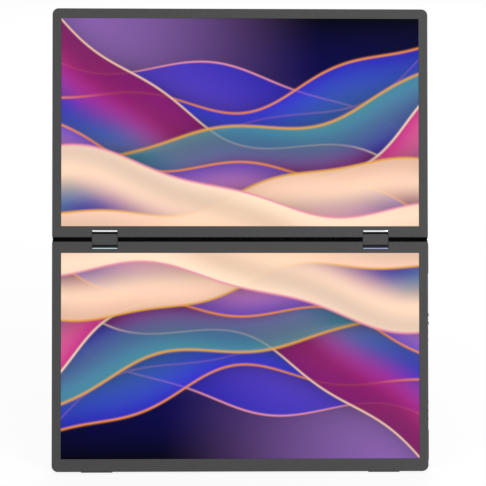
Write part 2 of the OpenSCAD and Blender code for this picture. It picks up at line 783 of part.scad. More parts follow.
// Each chip's place on the board and its side
chips = [[12, 12, 14], [34, 40, 16], [40, 12, 10], [14, 52, 8]];
module main_board() color(board_green) lower() {
  block(span(board_x, board_w), span(board_y, board_t), board_s);
  for (chip = chips)
    block(span(board_x + chip[0], chip[2]), span(board_y + board_t, chip_t),
          span(board_s[0] + chip[1], chip[2]));
}

// A flat outline with round ends, drawn out along x
module slot(x, y, s, w, h) {
  block(x, around(y, h / 2), around(s, (w - h) / 2));
  for (end = [-1, 1]) rod_x(x, y, s + end * (w - h) / 2, h / 2);
}

port_x = -half_w + port_in;
module usb_c_ports() color(steel) lower() for (n = [0, 1]) {
  s = port_s + n * port_pitch;
  difference() {
    slot(span(port_x, port_depth), port_y, s, usb_c_w, usb_c_h);
    slot(span(port_x - over, port_depth), port_y, s, usb_c_w - 2 * socket_wall, usb_c_h - 2 * socket_wall);
  }
  port_tongue(s, usb_c_tongue);
}

// The contact tongue in a socket, set back from its mouth
tongue_back = 0.7;
module port_tongue(s, size)
  block([port_x + tongue_back, port_x + port_depth], around(port_y, size[1] / 2), around(s, size[0] / 2));

module mini_hdmi_port() color(steel) lower() {
  s = hdmi_s;
  y = port_y - hdmi_h / 2;
  difference() {
    translate([port_x, 0, s]) along_x([0, port_depth], hdmi_outline(y, 0));
    translate([port_x, 0, s]) along_x([-over, port_depth - over], hdmi_outline(y, socket_wall));
  }
  port_tongue(s, hdmi_tongue);
}

// Wide at the back, with its front corners cut
function hdmi_outline(y, wall) = let (w = hdmi_w / 2 - wall, h = hdmi_h - wall) [
  [y + wall, hdmi_corner[0] - w], [y + hdmi_corner[1], -w], [y + h, -w],
  [y + h, w], [y + hdmi_corner[1], w], [y + wall, w - hdmi_corner[0]]];

module port_holes() {
  for (n = [0, 1]) slot([-half_w - over, -half_w + wall_t + over], port_y, port_s + n * port_pitch,
                        usb_c_w + 2 * fit, usb_c_h + 2 * fit);
  block([-half_w - over, -half_w + wall_t + over], around(port_y, hdmi_h / 2 + fit),
        around(hdmi_s, hdmi_w / 2 + fit));
}

button_rows = [
  for (i = [0:3]) first_row_s + i * button_pitch,
  for (i = [0:2]) far_s - second_row_up + i * button_pitch
];
module button_holes() for (s = button_rows)
  block([inner_x - over, half_w + over], around(button_y, button_h / 2 + loose),
        around(s, button_l / 2 + loose));

// A cap in the casing's side, with a flange and a stem inside
module button(n, proud) color([0.2, 0.2, 0.2]) lower() {
  s = button_rows[n];
  flange_x = inner_x - loose - button_flange_t;
  block([flange_x, half_w + proud], around(button_y, button_h / 2), around(s, button_l / 2));
  block([flange_x, inner_x - loose], around(button_y, button_h / 2 + button_flange),
        around(s, button_l / 2 + button_flange));
  block([plunger_in, flange_x + fit], around(button_y, button_stem_w / 2), around(s, button_stem_w / 2));
}

module power_button() button(0, tall_button);
module menu_button() button(1, tall_button);
module first_plus_button() button(2, low_button);
module first_minus_button() button(3, low_button);
module input_button() button(4, low_button);
module second_plus_button() button(5, low_button);
module second_minus_button() button(6, low_button);

module button_board() color(board_green) lower() {
  for (row = [[0, 3], [4, 6]])
    block(span(button_board_x, board_t), [seam_y, skin_y - seat_gap],
          [button_rows[row[0]] - button_board_end, button_rows[row[1]] + button_board_end]);
  for (s = button_rows)
    block([button_board_x + board_t / 2, button_board_x + board_t + switch_t],
          around(button_y, switch_w[0] / 2), around(s, switch_w[1] / 2));
}

speaker_inset = 52.5; // from the sides to the middle of each speaker
speaker_up = 30; // from the speakers' near side to the lower edge
speaker_x = half_w - speaker_inset;
speaker_w = 40;
speaker_h = 12;
speaker_s = far_s - speaker_up;
slot_pitch = 3.6;
slot_w = 1;
slot_rim = 3; // from a slot's end to the speaker's edge
module speakers() color([0.12, 0.12, 0.13]) lower() for (side = [-1, 1])
  block(around(side * speaker_x, speaker_w / 2), [board_y, skin_y - seat_gap], span(speaker_s, speaker_h));

module speaker_slots() for (side = [-1, 1], i = [-4:4])
  block(around(side * speaker_x + i * slot_pitch, slot_w / 2), [0, panel_t + over],
        span(speaker_s + slot_rim, speaker_h - 2 * slot_rim));

upper_bezel();
upper_display();
upper_backlight();
upper_display_flex();
upper_driver_board();
upper_back_cover();
upper_edge_roll();
upper_hinge_wells();
upper_trims();
upper_harness();
upper_left_bracket();
upper_right_bracket();
upper_left_shaft();
upper_right_shaft();
upper_bracket_screws();
upper_cover_screws();
lower_bezel();
lower_display();
lower_backlight();
lower_display_flex();
lower_driver_board();
lower_back_cover();
lower_edge_roll();
lower_hinge_wells();
lower_trims();
lower_harness();
lower_left_bracket();
lower_right_bracket();
lower_left_shaft();
lower_right_shaft();
lower_bracket_screws();
lower_cover_screws();
left_link_block();
right_link_block();
left_link_front_cover();
right_link_front_cover();
left_link_back_cover();
right_link_back_cover();
link_harness();
friction_washers();
link_screws();
gap_strips();
main_board();
usb_c_ports();
mini_hdmi_port();
button_board();
speakers();
edge_feet();
side_pads();
stand_brackets();
stand_pins();
stand_leaf();
stand_foot_pad();
power_button();
menu_button();
first_plus_button();
first_minus_button();
input_button();
second_plus_button();
second_minus_button();
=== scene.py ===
"""Looks for a folding twin-screen laptop extender, with a small studio round it."""

import json
import math

import bmesh
import bpy
from bpy.props import FloatProperty, FloatVectorProperty, IntProperty, PointerProperty
from mathutils import Matrix, Vector


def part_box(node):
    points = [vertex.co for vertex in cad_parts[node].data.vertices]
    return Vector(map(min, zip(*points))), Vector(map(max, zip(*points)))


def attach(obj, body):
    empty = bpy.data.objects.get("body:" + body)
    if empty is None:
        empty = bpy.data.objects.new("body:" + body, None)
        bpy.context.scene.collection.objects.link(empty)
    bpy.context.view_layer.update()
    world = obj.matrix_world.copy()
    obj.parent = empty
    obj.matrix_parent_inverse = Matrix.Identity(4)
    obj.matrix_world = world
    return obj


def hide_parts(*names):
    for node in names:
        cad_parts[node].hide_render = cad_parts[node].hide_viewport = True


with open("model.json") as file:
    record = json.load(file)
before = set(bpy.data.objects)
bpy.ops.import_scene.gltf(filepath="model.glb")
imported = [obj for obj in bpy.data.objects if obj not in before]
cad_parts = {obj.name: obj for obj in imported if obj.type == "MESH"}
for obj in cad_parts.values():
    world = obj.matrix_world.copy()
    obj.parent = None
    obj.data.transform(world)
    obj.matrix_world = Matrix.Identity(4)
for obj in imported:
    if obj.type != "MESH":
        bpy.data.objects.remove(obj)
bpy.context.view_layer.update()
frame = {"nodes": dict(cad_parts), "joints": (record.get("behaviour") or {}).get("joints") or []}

bl_info = {
    "name": "Twin Screen Extender",
    "version": (1, 0, 0),
    "blender": (4, 5, 0),
    "location": "View3D > Sidebar > Extender",
    "description": "Dresses the folding twin-screen extender and sets up its studio",
    "category": "Object",
}

MM = 0.001
# How near two places are to count as one
NEAR = 1e-6
NODES = frame["nodes"]
JOINTS = {joint["name"]: joint for joint in frame["joints"]}
SHARP_ANGLE = math.radians(32)


# ---- Colours ----


def linear(red, green, blue):
    """A screen colour from 0 to 255 as the linear colour that a shader takes."""
    parts = (channel / 255 for channel in (red, green, blue))
    return tuple(p / 12.92 if p <= 0.04045 else ((p + 0.055) / 1.055) ** 2.4 for p in parts)


def opaque(colour):
    return (*colour, 1.0)


# ---- Axes of the screens and the leaf, read from the frame ----


def axes(origin, across, depth, along):
    """A matrix whose columns are the three directions of a piece and its start."""
    made = Matrix.Identity(4)
    for column, vector in enumerate((across, depth, along, origin)):
        for row in range(3):
            made[row][column] = vector[row]
    return made


def screen_axes():
    """Both screens' axes: across, into the screen and away from the fold line."""
    glass = [Vector((0, v.co.y, v.co.z)) for v in NODES["upper_display"].data.vertices]
    front_top = max(glass, key=lambda p: p.z)
    front_bottom = min(glass, key=lambda p: p.y)
    up = (front_top - front_bottom).normalized()
    across = Vector((1, 0, 0))
    depth = up.cross(across)
    upper, lower = ([v.co for v in NODES[name].data.vertices] for name in ("upper_bezel", "lower_bezel"))
    low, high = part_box("upper_bezel")
    face = min(p.dot(depth) for p in upper)
    fold = (min(p.dot(up) for p in upper) + max(p.dot(up) for p in lower)) / 2
    origin = across * (low.x + high.x) / 2 + depth * face + up * fold
    return axes(origin, across, depth, up), axes(origin, across, depth, -up)


UPPER, LOWER = screen_axes()
DEPTH = UPPER.to_3x3().col[1]
LEAN = math.atan2(UPPER[1][2], UPPER[2][2])


def leaf_axes():
    """The open leaf's axes: across, through the leaf and from its hinge to its foot."""
    swing = JOINTS["stand_swing"]
    opened = LOWER.copy()
    opened.translation = Vector((LOWER.translation.x, *swing["pos_m"][1:]))
    return opened @ Matrix.Rotation(math.radians(swing["range_deg"][0]), 4, "X")


LEAF = leaf_axes()


def span_of(points):
    """The lowest and highest corner round some points."""
    return (Vector(map(min, zip(*points))), Vector(map(max, zip(*points))))


def extent(node, place):
    """A node's lowest and highest corner in a piece's own axes."""
    back = place.inverted()
    return span_of([back @ v.co for v in NODES[node].data.vertices])


def lumps(node, place):
    """The extent of each separate solid of a node, in a piece's own axes, from left to right."""
    bm = bmesh.new()
    bm.from_mesh(NODES[node].data)
    bmesh.ops.remove_doubles(bm, verts=bm.verts, dist=NEAR)
    bm.transform(place.inverted())
    left, found = set(bm.verts), []
    while left:
        reached, edge = set(), [left.pop()]
        while edge:
            vert = edge.pop()
            reached.add(vert)
            for link in vert.link_edges:
                other = link.other_vert(vert)
                if other in left:
                    left.discard(other)
                    edge.append(other)
        found.append(span_of([v.co.copy() for v in reached]))
    bm.free()
    return sorted(found, key=lambda box: (box[0].x, box[0].z))


# ---- Mesh helpers: everything is drawn in a piece's own axes and then put in place ----


def prism(bm, outline, travel):
    """A closed outline drawn out along a vector. Returns its faces: both ends, then the sides."""
    near = [bm.verts.new(p) for p in outline]
    far = [bm.verts.new(Vector(p) + Vector(travel)) for p in outline]
    ends = [bm.faces.new(near[::-1]), bm.faces.new(far)]
    return ends + [bm.faces.new((near[i - 1], near[i], far[i], far[i - 1])) for i in range(len(near))]


def bar_along_x(bm, outline, start, end):
    """A flat outline of y and z drawn out along x between two places. Returns its faces, ends first."""
    return prism(bm, [(start, *p) for p in outline], (end - start, 0, 0))


def edges_of(faces):
    """The edges of some faces, each once and always in the same order."""
    return list(dict.fromkeys(edge for face in faces for edge in face.edges))


def round_edges(bm, edges, radius, segments=3):
    bmesh.ops.bevel(
        bm, geom=edges, offset=radius, offset_type="OFFSET", segments=segments, profile=0.5, affect="EDGES"
    )


def slab(bm, low, high, radius=0.0, segments=3):
    """A box between two corners with all its edges rounded."""
    (x0, y0, z0), (x1, y1, z1) = low, high
    faces = prism(bm, [(x0, y0, z0), (x1, y0, z0), (x1, y0, z1), (x0, y0, z1)], (0, y1 - y0, 0))
    if radius:
        round_edges(bm, edges_of(faces), radius, segments)


def arc(centre, radius, start, end, steps):
    """Points on an arc in a plane, with angles in degrees."""
    angles = [math.radians(start + (end - start) * i / steps) for i in range(steps + 1)]
    return [(centre[0] + radius * math.cos(a), centre[1] + radius * math.sin(a)) for a in angles]


def rounded_rectangle(low, high, radii, steps=8):
    """A flat outline with a radius for each corner: low left, low right, high right, high left."""
    (x0, z0), (x1, z1) = low, high
    corners = [(x0, z0, 1, 1, 180), (x1, z0, -1, 1, 270), (x1, z1, -1, -1, 0), (x0, z1, 1, -1, 90)]
    points = []
    for (x, z, to_x, to_z, start), radius in zip(corners, radii):
        if radius:
            points += arc((x + to_x * radius, z + to_z * radius), radius, start, start + 90, steps)
        else:
            points.append((x, z))
    return points


def tube(bm, outer, inner, travel):
    """A closed wall between two outlines with as many points, drawn out along a vector."""
    move = Vector(travel)
    near_out, near_in, far_out, far_in = (
        [bm.verts.new(Vector(p) + shift) for p in line]
        for shift in (move * 0, move) for line in (outer, inner)
    )
    count = len(outer)
    for i in range(count):
        for a, b in ((near_out, near_in), (far_in, far_out), (far_out, near_out), (near_in, far_in)):
            bm.faces.new((a[i - 1], b[i - 1], b[i], a[i]))


def ring_x(x, centre, radius, steps=32):
    """A circle round the x axis."""
    return [(x, *p) for p in arc(centre, radius, 0, 360 * (steps - 1) / steps, steps - 1)]


def piece(name, bm, place, materials, body, replaced=()):
    """Puts a drawn mesh in its place as an object of its own, closed and facing outwards, on its body."""
    bm.transform(place)
    bm.normal_update()
    bmesh.ops.recalc_face_normals(bm, faces=bm.faces)
    mesh = bpy.data.meshes.new(name)
    bm.to_mesh(mesh)
    bm.free()
    return enter(name, mesh, materials, body, replaced)


def enter(name, mesh, materials, body, replaced=()):
    """Gives a finished mesh its materials and shading and lets it ride on its body."""
    for material in materials:
        if material.name not in mesh.materials:
            mesh.materials.append(material)
    mesh.shade_smooth()
    mesh.set_sharp_from_angle(angle=SHARP_ANGLE)
    made = bpy.data.objects.new(name, mesh)
    bpy.context.scene.collection.objects.link(made)
    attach(made, body)
    if replaced:
        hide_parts(*replaced)
    return made


# ---- Node helpers ----


def feed(tree, socket, value):
    """Links a socket to an input, or sets the input to a plain value or a colour."""
    if isinstance(value, bpy.types.NodeSocket):
        tree.links.new(value, socket)
    elif socket.type == "RGBA":
        socket.default_value = opaque(value)
    else:
        socket.default_value = value


def put(tree, kind, inputs=None, **settings):
    """Adds a node, sets it and feeds its inputs, which go by name or number."""
    made = tree.nodes.new(kind)
    for name, value in settings.items():
        setattr(made, name, value)
    for key, value in (inputs or {}).items():
        feed(tree, made.inputs[key], value)
    return made


def maths(tree, operation, *values):
    return put(tree, "ShaderNodeMath", dict(enumerate(values)), operation=operation).outputs[0]


def product(tree, first, *others):
    """The product of two or more values."""
    for other in others:
        first = maths(tree, "MULTIPLY", first, other)
    return first


def vectors(tree, operation, *values):
    return put(tree, "ShaderNodeVectorMath", dict(enumerate(values)), operation=operation).outputs[0]


def rescale(tree, value, low, high, to_low=0.0, to_high=1.0, smooth=False):
    """Maps a range of values onto another one and clamps it."""
    kind = "SMOOTHSTEP" if smooth else "LINEAR"
    inputs = {"Value": value, "From Min": low, "From Max": high, "To Min": to_low, "To Max": to_high}
    return put(tree, "ShaderNodeMapRange", inputs, interpolation_type=kind).outputs[0]


def blend_colour(tree, share, first, second):
    return put(tree, "ShaderNodeMix", {0: share, 6: first, 7: second}, data_type="RGBA").outputs[2]


def ramp(tree, value, stops):
    """A colour ramp through stops of a place and a linear colour."""
    made = put(tree, "ShaderNodeValToRGB", {"Fac": value})
    elements = made.color_ramp.elements
    while len(elements) < len(stops):
        elements.new(0.5)
    for element, (place, colour) in zip(elements, stops):
        element.position = place
        element.color = opaque(colour)
    return made.outputs[0]


def noise(tree, vector, scale, detail=2.0, roughness=0.5):
    inputs = {"Vector": vector, "Scale": scale, "Detail": detail, "Roughness": roughness}
    return put(tree, "ShaderNodeTexNoise", inputs).outputs[0]


def add_sockets(tree, way, sockets):
    """Adds named sockets to a tree. Each is given by its kind, or by a default that shows its kind."""
    for label, given in sockets.items():
        kind = given if isinstance(given, str) else DEFAULT_KINDS[type(given)]
        socket = tree.interface.new_socket(label, in_out=way, socket_type="NodeSocket" + kind)
        if kind != given:
            socket.default_value = given


DEFAULT_KINDS = {float: "Float", int: "Int", tuple: "Vector"}


def effect(name, inputs, outputs):
    """A shader node group. Returns its tree, the sockets that it takes and those that it gives."""
    tree = bpy.data.node_groups.new(name, "ShaderNodeTree")
    add_sockets(tree, "INPUT", inputs)
    add_sockets(tree, "OUTPUT", outputs)
    return tree, tree.nodes.new("NodeGroupInput").outputs, tree.nodes.new("NodeGroupOutput").inputs


def place_effect(tree, name, **inputs):
    """Places an effect in a tree. Underscores in the names of its inputs stand for spaces."""
    named = {label.replace("_", " "): value for label, value in inputs.items()}
    return put(tree, "ShaderNodeGroup", named, node_tree=bpy.data.node_groups[name]).outputs


# ---- Shared effects ----

# What the effects for finishes give
FINISH_OUTPUTS = {"Colour": "Color", "Roughness": "Float", "Height": "Float"}

# The coarse grain's scale as a share of the fine grain's, and the grain's change of tone in drifts
COARSE_SHARE = 0.3
GRAIN_TONE = 4.0


def build_moulded_grain():
    """Spark-eroded grain in two sizes, with slow drifts in tone and gloss."""
    tree, take, give = effect(
        "Moulded Grain",
        {"Vector": "Vector", "Grain Scale": 2600.0, "Drift Scale": 9.0, "Drift": 0.06, "Base": "Color",
         "Gloss": 0.5, "Gloss Change": 0.05},
        FINISH_OUTPUTS,
    )
    fine = noise(tree, take["Vector"], take["Grain Scale"], 2.0, 0.6)
    coarse = noise(tree, take["Vector"], product(tree, take["Grain Scale"], COARSE_SHARE), 1.0, 0.4)
    grain = maths(tree, "MULTIPLY_ADD", coarse, 0.5, product(tree, fine, 0.5))
    drift = noise(tree, take["Vector"], take["Drift Scale"], 3.0, 0.55)
    centred = maths(tree, "SUBTRACT", drift, 0.5)
    spots = maths(tree, "SUBTRACT", grain, 0.5)
    lift = maths(tree, "MULTIPLY_ADD", centred, take["Drift"], 1.0)
    lift = maths(tree, "MULTIPLY_ADD", spots, product(tree, take["Drift"], GRAIN_TONE), lift)
    feed(tree, give["Colour"], vectors(tree, "MULTIPLY", take["Base"], lift))
    gloss = maths(tree, "MULTIPLY_ADD", centred, take["Gloss Change"], take["Gloss"])
    feed(tree, give["Roughness"], maths(tree, "MULTIPLY_ADD", spots, take["Gloss Change"], gloss))
    feed(tree, give["Height"], grain)


def build_brushed_lines():
    """Long fine scratches along one direction, with worn and cleaner bands."""
    tree, take, give = effect(
        "Brushed Lines",
        {"Vector": "Vector", "Base": "Color", "Worn": "Color", "Gloss": 0.3, "Gloss Change": 0.12},
        FINISH_OUTPUTS,
    )
    lines = noise(tree, take["Vector"], 1.0)
    bands = noise(tree, take["Vector"], 0.35, 2.0)
    worn = rescale(tree, lines, 0.3, 0.75)
    feed(tree, give["Colour"], blend_colour(tree, worn, take["Base"], take["Worn"]))
    gloss = maths(tree, "SUBTRACT", bands, 0.5)
    gloss = maths(tree, "MULTIPLY_ADD", gloss, take["Gloss Change"], take["Gloss"])
    change = maths(tree, "SUBTRACT", lines, 0.5)
    feed(tree, give["Roughness"], maths(tree, "MULTIPLY_ADD", change, take["Gloss Change"], gloss))
    feed(tree, give["Height"], lines)


# A veil's ripple, as shares of its swell: waves, phase and height
RIPPLE = (2.3, 1.7, 0.35)
# Its pleats: number across its width, how far they follow the swell and how strongly they show
PLEATS = (9.0, 0.75, 0.125)
# Its rim's softness and strength, the share of its width where it starts to fade, and its shade's fall
RIM_SOFT = 0.002
RIM_STRENGTH = 0.9
FADE_FROM = 0.35
SHADE_FALL = 16.0


def build_veil():
    """A translucent silk veil over a picture: a wavy lit rim, a pleated body and a shade below the rim."""
    tree, take, give = effect(
        "Silk Veil",
        {"Under": "Color", "Place": "Vector", "Centre": "Vector", "Turn": 0.0, "Bend": 0.1, "Waves": 3.0,
         "Phase": 0.0, "Width": 0.4, "Strength": 0.8, "Near": "Color", "Far": "Color", "Rim": "Color",
         "Rim Width": 0.006, "Shade": 0.35},
        {"Colour": "Color"},
    )
    around = vectors(tree, "SUBTRACT", take["Place"], take["Centre"])
    level = put(
        tree, "ShaderNodeVectorRotate", {"Vector": around, "Angle": take["Turn"]}, rotation_type="Z_AXIS",
    )
    parts = put(tree, "ShaderNodeSeparateXYZ", {0: level.outputs[0]}).outputs
    swell = maths(tree, "MULTIPLY_ADD", parts[0], take["Waves"], take["Phase"])
    ripple = product(tree, parts[0], take["Waves"], RIPPLE[0])
    ripple = maths(tree, "MULTIPLY_ADD", take["Phase"], RIPPLE[1], ripple)
    edge = maths(tree, "MULTIPLY_ADD", maths(tree, "SINE", ripple), RIPPLE[2], maths(tree, "SINE", swell))
    above = maths(tree, "SUBTRACT", parts[1], product(tree, edge, take["Bend"]))
    inside = rescale(tree, above, -RIM_SOFT, RIM_SOFT, smooth=True)
    share = rescale(tree, maths(tree, "DIVIDE", above, take["Width"]), 0.0, 1.0)
    folds = maths(tree, "MULTIPLY_ADD", share, PLEATS[0], product(tree, swell, PLEATS[1]))
    pleat = maths(tree, "MULTIPLY_ADD", maths(tree, "SINE", folds), PLEATS[2], 1.0)
    body = vectors(tree, "MULTIPLY", blend_colour(tree, share, take["Near"], take["Far"]), pleat)
    fade = rescale(tree, share, FADE_FROM, 1.0, 1.0, 0.0, smooth=True)
    cover = product(tree, inside, fade, take["Strength"])
    below = maths(tree, "EXPONENT", product(tree, maths(tree, "MINIMUM", above, 0.0), SHADE_FALL))
    dark = product(tree, below, maths(tree, "SUBTRACT", 1.0, inside), take["Shade"])
    under = vectors(tree, "MULTIPLY", take["Under"], maths(tree, "SUBTRACT", 1.0, dark))
    laid = blend_colour(tree, cover, under, body)
    spread = maths(tree, "DIVIDE", above, take["Rim Width"])
    glow = maths(tree, "EXPONENT", product(tree, spread, spread, -1.0))
    feed(tree, give["Colour"], blend_colour(tree, product(tree, glow, RIM_STRENGTH), laid, take["Rim"]))


def build_woven_net():
    """An open weave of fine threads, for the net behind a grille."""
    tree, take, give = effect(
        "Woven Net",
        {"Vector": "Vector", "Thread Scale": 900.0, "Thread": "Color", "Hole": "Color"},
        {"Colour": "Color", "Height": "Float"},
    )
    threads = []
    for direction in ("X", "Z"):
        inputs = {"Vector": take["Vector"], "Scale": take["Thread Scale"], "Distortion": 0.0}
        wave = put(tree, "ShaderNodeTexWave", inputs, wave_type="BANDS", bands_direction=direction)
        threads.append(wave.outputs["Fac"])
    height = maths(tree, "MAXIMUM", *threads)
    cover = rescale(tree, height, 0.35, 0.7)
    feed(tree, give["Colour"], blend_colour(tree, cover, take["Hole"], take["Thread"]))
    feed(tree, give["Height"], height)


def build_effects():
    for build in (build_moulded_grain, build_brushed_lines, build_veil, build_woven_net):
        build()


# ---- Materials ----


def start_material(name):
    material = bpy.data.materials.new(name)
    material.use_nodes = True
    tree = material.node_tree
    tree.nodes.clear()
    coordinates = tree.nodes.new("ShaderNodeTexCoord")
    return material, tree, coordinates.outputs


def surface(tree, inputs, bump, depth, amount=1.0):
    """The material's own shader, with a bump of a depth in metres."""
    shader = put(tree, "ShaderNodeBsdfPrincipled", inputs)
    relief = put(tree, "ShaderNodeBump", {"Height": bump, "Strength": amount, "Distance": depth})
    feed(tree, shader.inputs["Normal"], relief.outputs[0])
    put(tree, "ShaderNodeOutputMaterial", {"Surface": shader.outputs[0]})


def along_screens(tree, vector, scale=(1, 1, 1), turn=LEAN):
    """Object coordinates laid along the screens, or along another turn, so that a pattern runs with them."""
    turned = put(tree, "ShaderNodeMapping", {"Vector": vector, "Rotation": (turn, 0, 0)}).outputs[0]
    return put(tree, "ShaderNodeMapping", {"Vector": turned, "Scale": scale}).outputs[0]


def grained(name, colour, gloss, scale, depth, specular=0.35, drift=0.06, gloss_change=0.06, metallic=0.0):
    """A moulded, painted or plated finish on the grain effect."""
    material, tree, take = start_material(name)
    grain = place_effect(
        tree, "Moulded Grain", Vector=take["Object"], Grain_Scale=scale, Drift=drift, Base=colour,
        Gloss=gloss, Gloss_Change=gloss_change,
    )
    inputs = {
        "Base Color": grain["Colour"], "Roughness": grain["Roughness"], "Specular IOR Level": specular,
        "Metallic": metallic,
    }
    surface(tree, inputs, grain["Height"], depth)
    return material


# Depth of the lines in brushed metal
BRUSH_DEPTH = 0.000004


def brushed(name, colour, worn, gloss, stretch, turn=LEAN):
    """A metal with fine lines along one direction of the screens or of the leaf."""
    material, tree, take = start_material(name)
    lines = place_effect(
        tree, "Brushed Lines", Vector=along_screens(tree, take["Object"], stretch, turn), Base=colour,
        Worn=worn, Gloss=gloss,
    )
    inputs = {"Base Color": lines["Colour"], "Roughness": lines["Roughness"], "Metallic": 1.0}
    surface(tree, inputs, lines["Height"], BRUSH_DEPTH, 0.6)
    return material


# The dark gloss of the glass over the picture
GLASS_OVER_PICTURE = (0.0008, 0.0008, 0.001)
# The sky behind the veils, from below to above, at the left side and from NIGHT_FROM of the width on
DUSK = [(0.0, (244, 196, 160)), (0.3, (205, 140, 150)), (0.6, (146, 104, 172)), (1.0, (140, 100, 178))]
NIGHT = [
    (0.0, (240, 190, 165)), (0.25, (150, 95, 150)), (0.5, (70, 50, 150)), (0.72, (12, 10, 86)),
    (1.0, (1, 1, 16)),
]
NIGHT_FROM = 0.74
SILKS = {
    "blue": (52, 48, 205), "indigo": (40, 32, 140), "violet": (110, 78, 190), "magenta": (205, 45, 130),
    "pink": (236, 150, 170), "rose": (215, 120, 150), "peach": (250, 205, 175), "cream": (253, 224, 196),
    "teal": (70, 145, 150), "gold": (230, 165, 60), "orange": (245, 145, 60), "plum": (120, 20, 90),
}
# Each veil: centre, turn in degrees, bend, waves, phase, width, strength, its near, far and rim colours, the
# rim's width and the shade below it
VEILS = [
    ((0.32, 0.80), 166, 0.09, 3.0, 0.5, 0.70, 0.72, "blue", "violet", "pink", 0.005, 0.2),
    ((1.18, 0.62), 203, 0.10, 2.7, 2.0, 0.50, 0.90, "indigo", "blue", "rose", 0.005, 0.3),
    ((0.30, 0.60), 188, 0.10, 3.2, 3.4, 0.46, 0.80, "blue", "teal", "orange", 0.006, 0.3),
    ((1.00, 0.46), 155, 0.11, 3.0, 0.6, 0.34, 0.92, "plum", "magenta", "peach", 0.005, 0.35),
    ((0.42, 0.33), 197, 0.07, 3.3, 4.6, 0.30, 0.80, "teal", "violet", "gold", 0.007, 0.3),
    ((1.36, 0.36), 208, 0.08, 3.4, 1.4, 0.30, 0.92, "magenta", "pink", "cream", 0.006, 0.3),
    ((1.05, 0.22), 166, 0.08, 3.5, 5.4, 0.26, 0.94, "violet", "pink", "orange", 0.006, 0.3),
    ((0.35, 0.10), 188, 0.06, 3.7, 2.2, 0.30, 0.94, "peach", "cream", "gold", 0.006, 0.3),
    ((1.35, 0.12), 172, 0.07, 3.2, 0.9, 0.30, 0.94, "cream", "peach", "pink", 0.006, 0.25),
]


def picture_material(border, sizes):
    """The lit picture: silk veils over a dusk sky in a thin black border. UV runs over the lit area."""
    aspect = sizes[0] / sizes[1]
    material, tree, take = start_material("Lit Picture")
    place = put(tree, "ShaderNodeMapping", {"Vector": take["UV"], "Scale": (aspect, 1, 1)}).outputs[0]
    parts = put(tree, "ShaderNodeSeparateXYZ", {0: place}).outputs
    dusk, night = (
        ramp(tree, parts[1], [(height, linear(*shade)) for height, shade in stops]) for stops in (DUSK, NIGHT)
    )
    colour = blend_colour(tree, rescale(tree, parts[0], 0.0, NIGHT_FROM * aspect, smooth=True), dusk, night)
    for centre, turn, bend, waves, phase, width, strength, near, far, rim, rim_width, shade in VEILS:
        colour = place_effect(
            tree, "Silk Veil", Under=colour, Place=place, Centre=(*centre, 0), Turn=-math.radians(turn),
            Bend=bend, Waves=waves, Phase=phase, Width=width, Strength=strength, Near=linear(*SILKS[near]),
            Far=linear(*SILKS[far]), Rim=linear(*SILKS[rim]), Rim_Width=rim_width, Shade=shade,
        )["Colour"]
    sides = put(tree, "ShaderNodeSeparateXYZ", {0: take["UV"]}).outputs
    inner = []
    for side, size in zip(sides, sizes):
        reach = maths(tree, "ABSOLUTE", maths(tree, "SUBTRACT", side, 0.5))
        dark = border / size
        inner.append(rescale(tree, reach, 0.5 - dark, 0.5 - dark * 0.5, 1.0, 0.0, smooth=True))
    inputs = {
        "Base Color": GLASS_OVER_PICTURE, "Roughness": 0.42, "Specular IOR Level": 0.02,
        "Emission Color": vectors(tree, "MULTIPLY", colour, product(tree, *inner)), "Emission Strength": 1.0,
    }
    surface(tree, inputs, noise(tree, take["Object"], 5200.0, 1.0), 0.000002, 0.4)
    return material


# How far to each side of the middle the trims' painted reflection tint drifts from its left to its right
# colour
PAINTED_REFLECTION_REACH = 0.12


def trim_with_painted_reflection(name, left, right):
    """Polished metal trim with a painted reflection: a tint that drifts from one end of the object to the
    other, which on the lower trims stands in for the lit screens mirrored in the metal.
    """
    material, tree, take = start_material(name)
    across = put(tree, "ShaderNodeSeparateXYZ", {0: take["Object"]}).outputs[0]
    # Painted reflection: the metal's colour drifts from the left colour to the right one across the object,
    # as the lit screens would mirror in it
    painted_reflection_tint = blend_colour(tree, rescale(tree, across, -PAINTED_REFLECTION_REACH, PAINTED_REFLECTION_REACH), left, right)
    lines = place_effect(
        tree, "Brushed Lines", Vector=along_screens(tree, take["Object"], (60, 3000, 3000)), Base=painted_reflection_tint,
        Worn=(0.95, 0.96, 0.97), Gloss=0.12, Gloss_Change=0.06,
    )
    inputs = {
        "Base Color": blend_colour(tree, 0.8, lines["Colour"], painted_reflection_tint), "Roughness": lines["Roughness"],
        "Metallic": 1.0,
    }
    surface(tree, inputs, lines["Height"], 0.000002, 0.3)
    return material


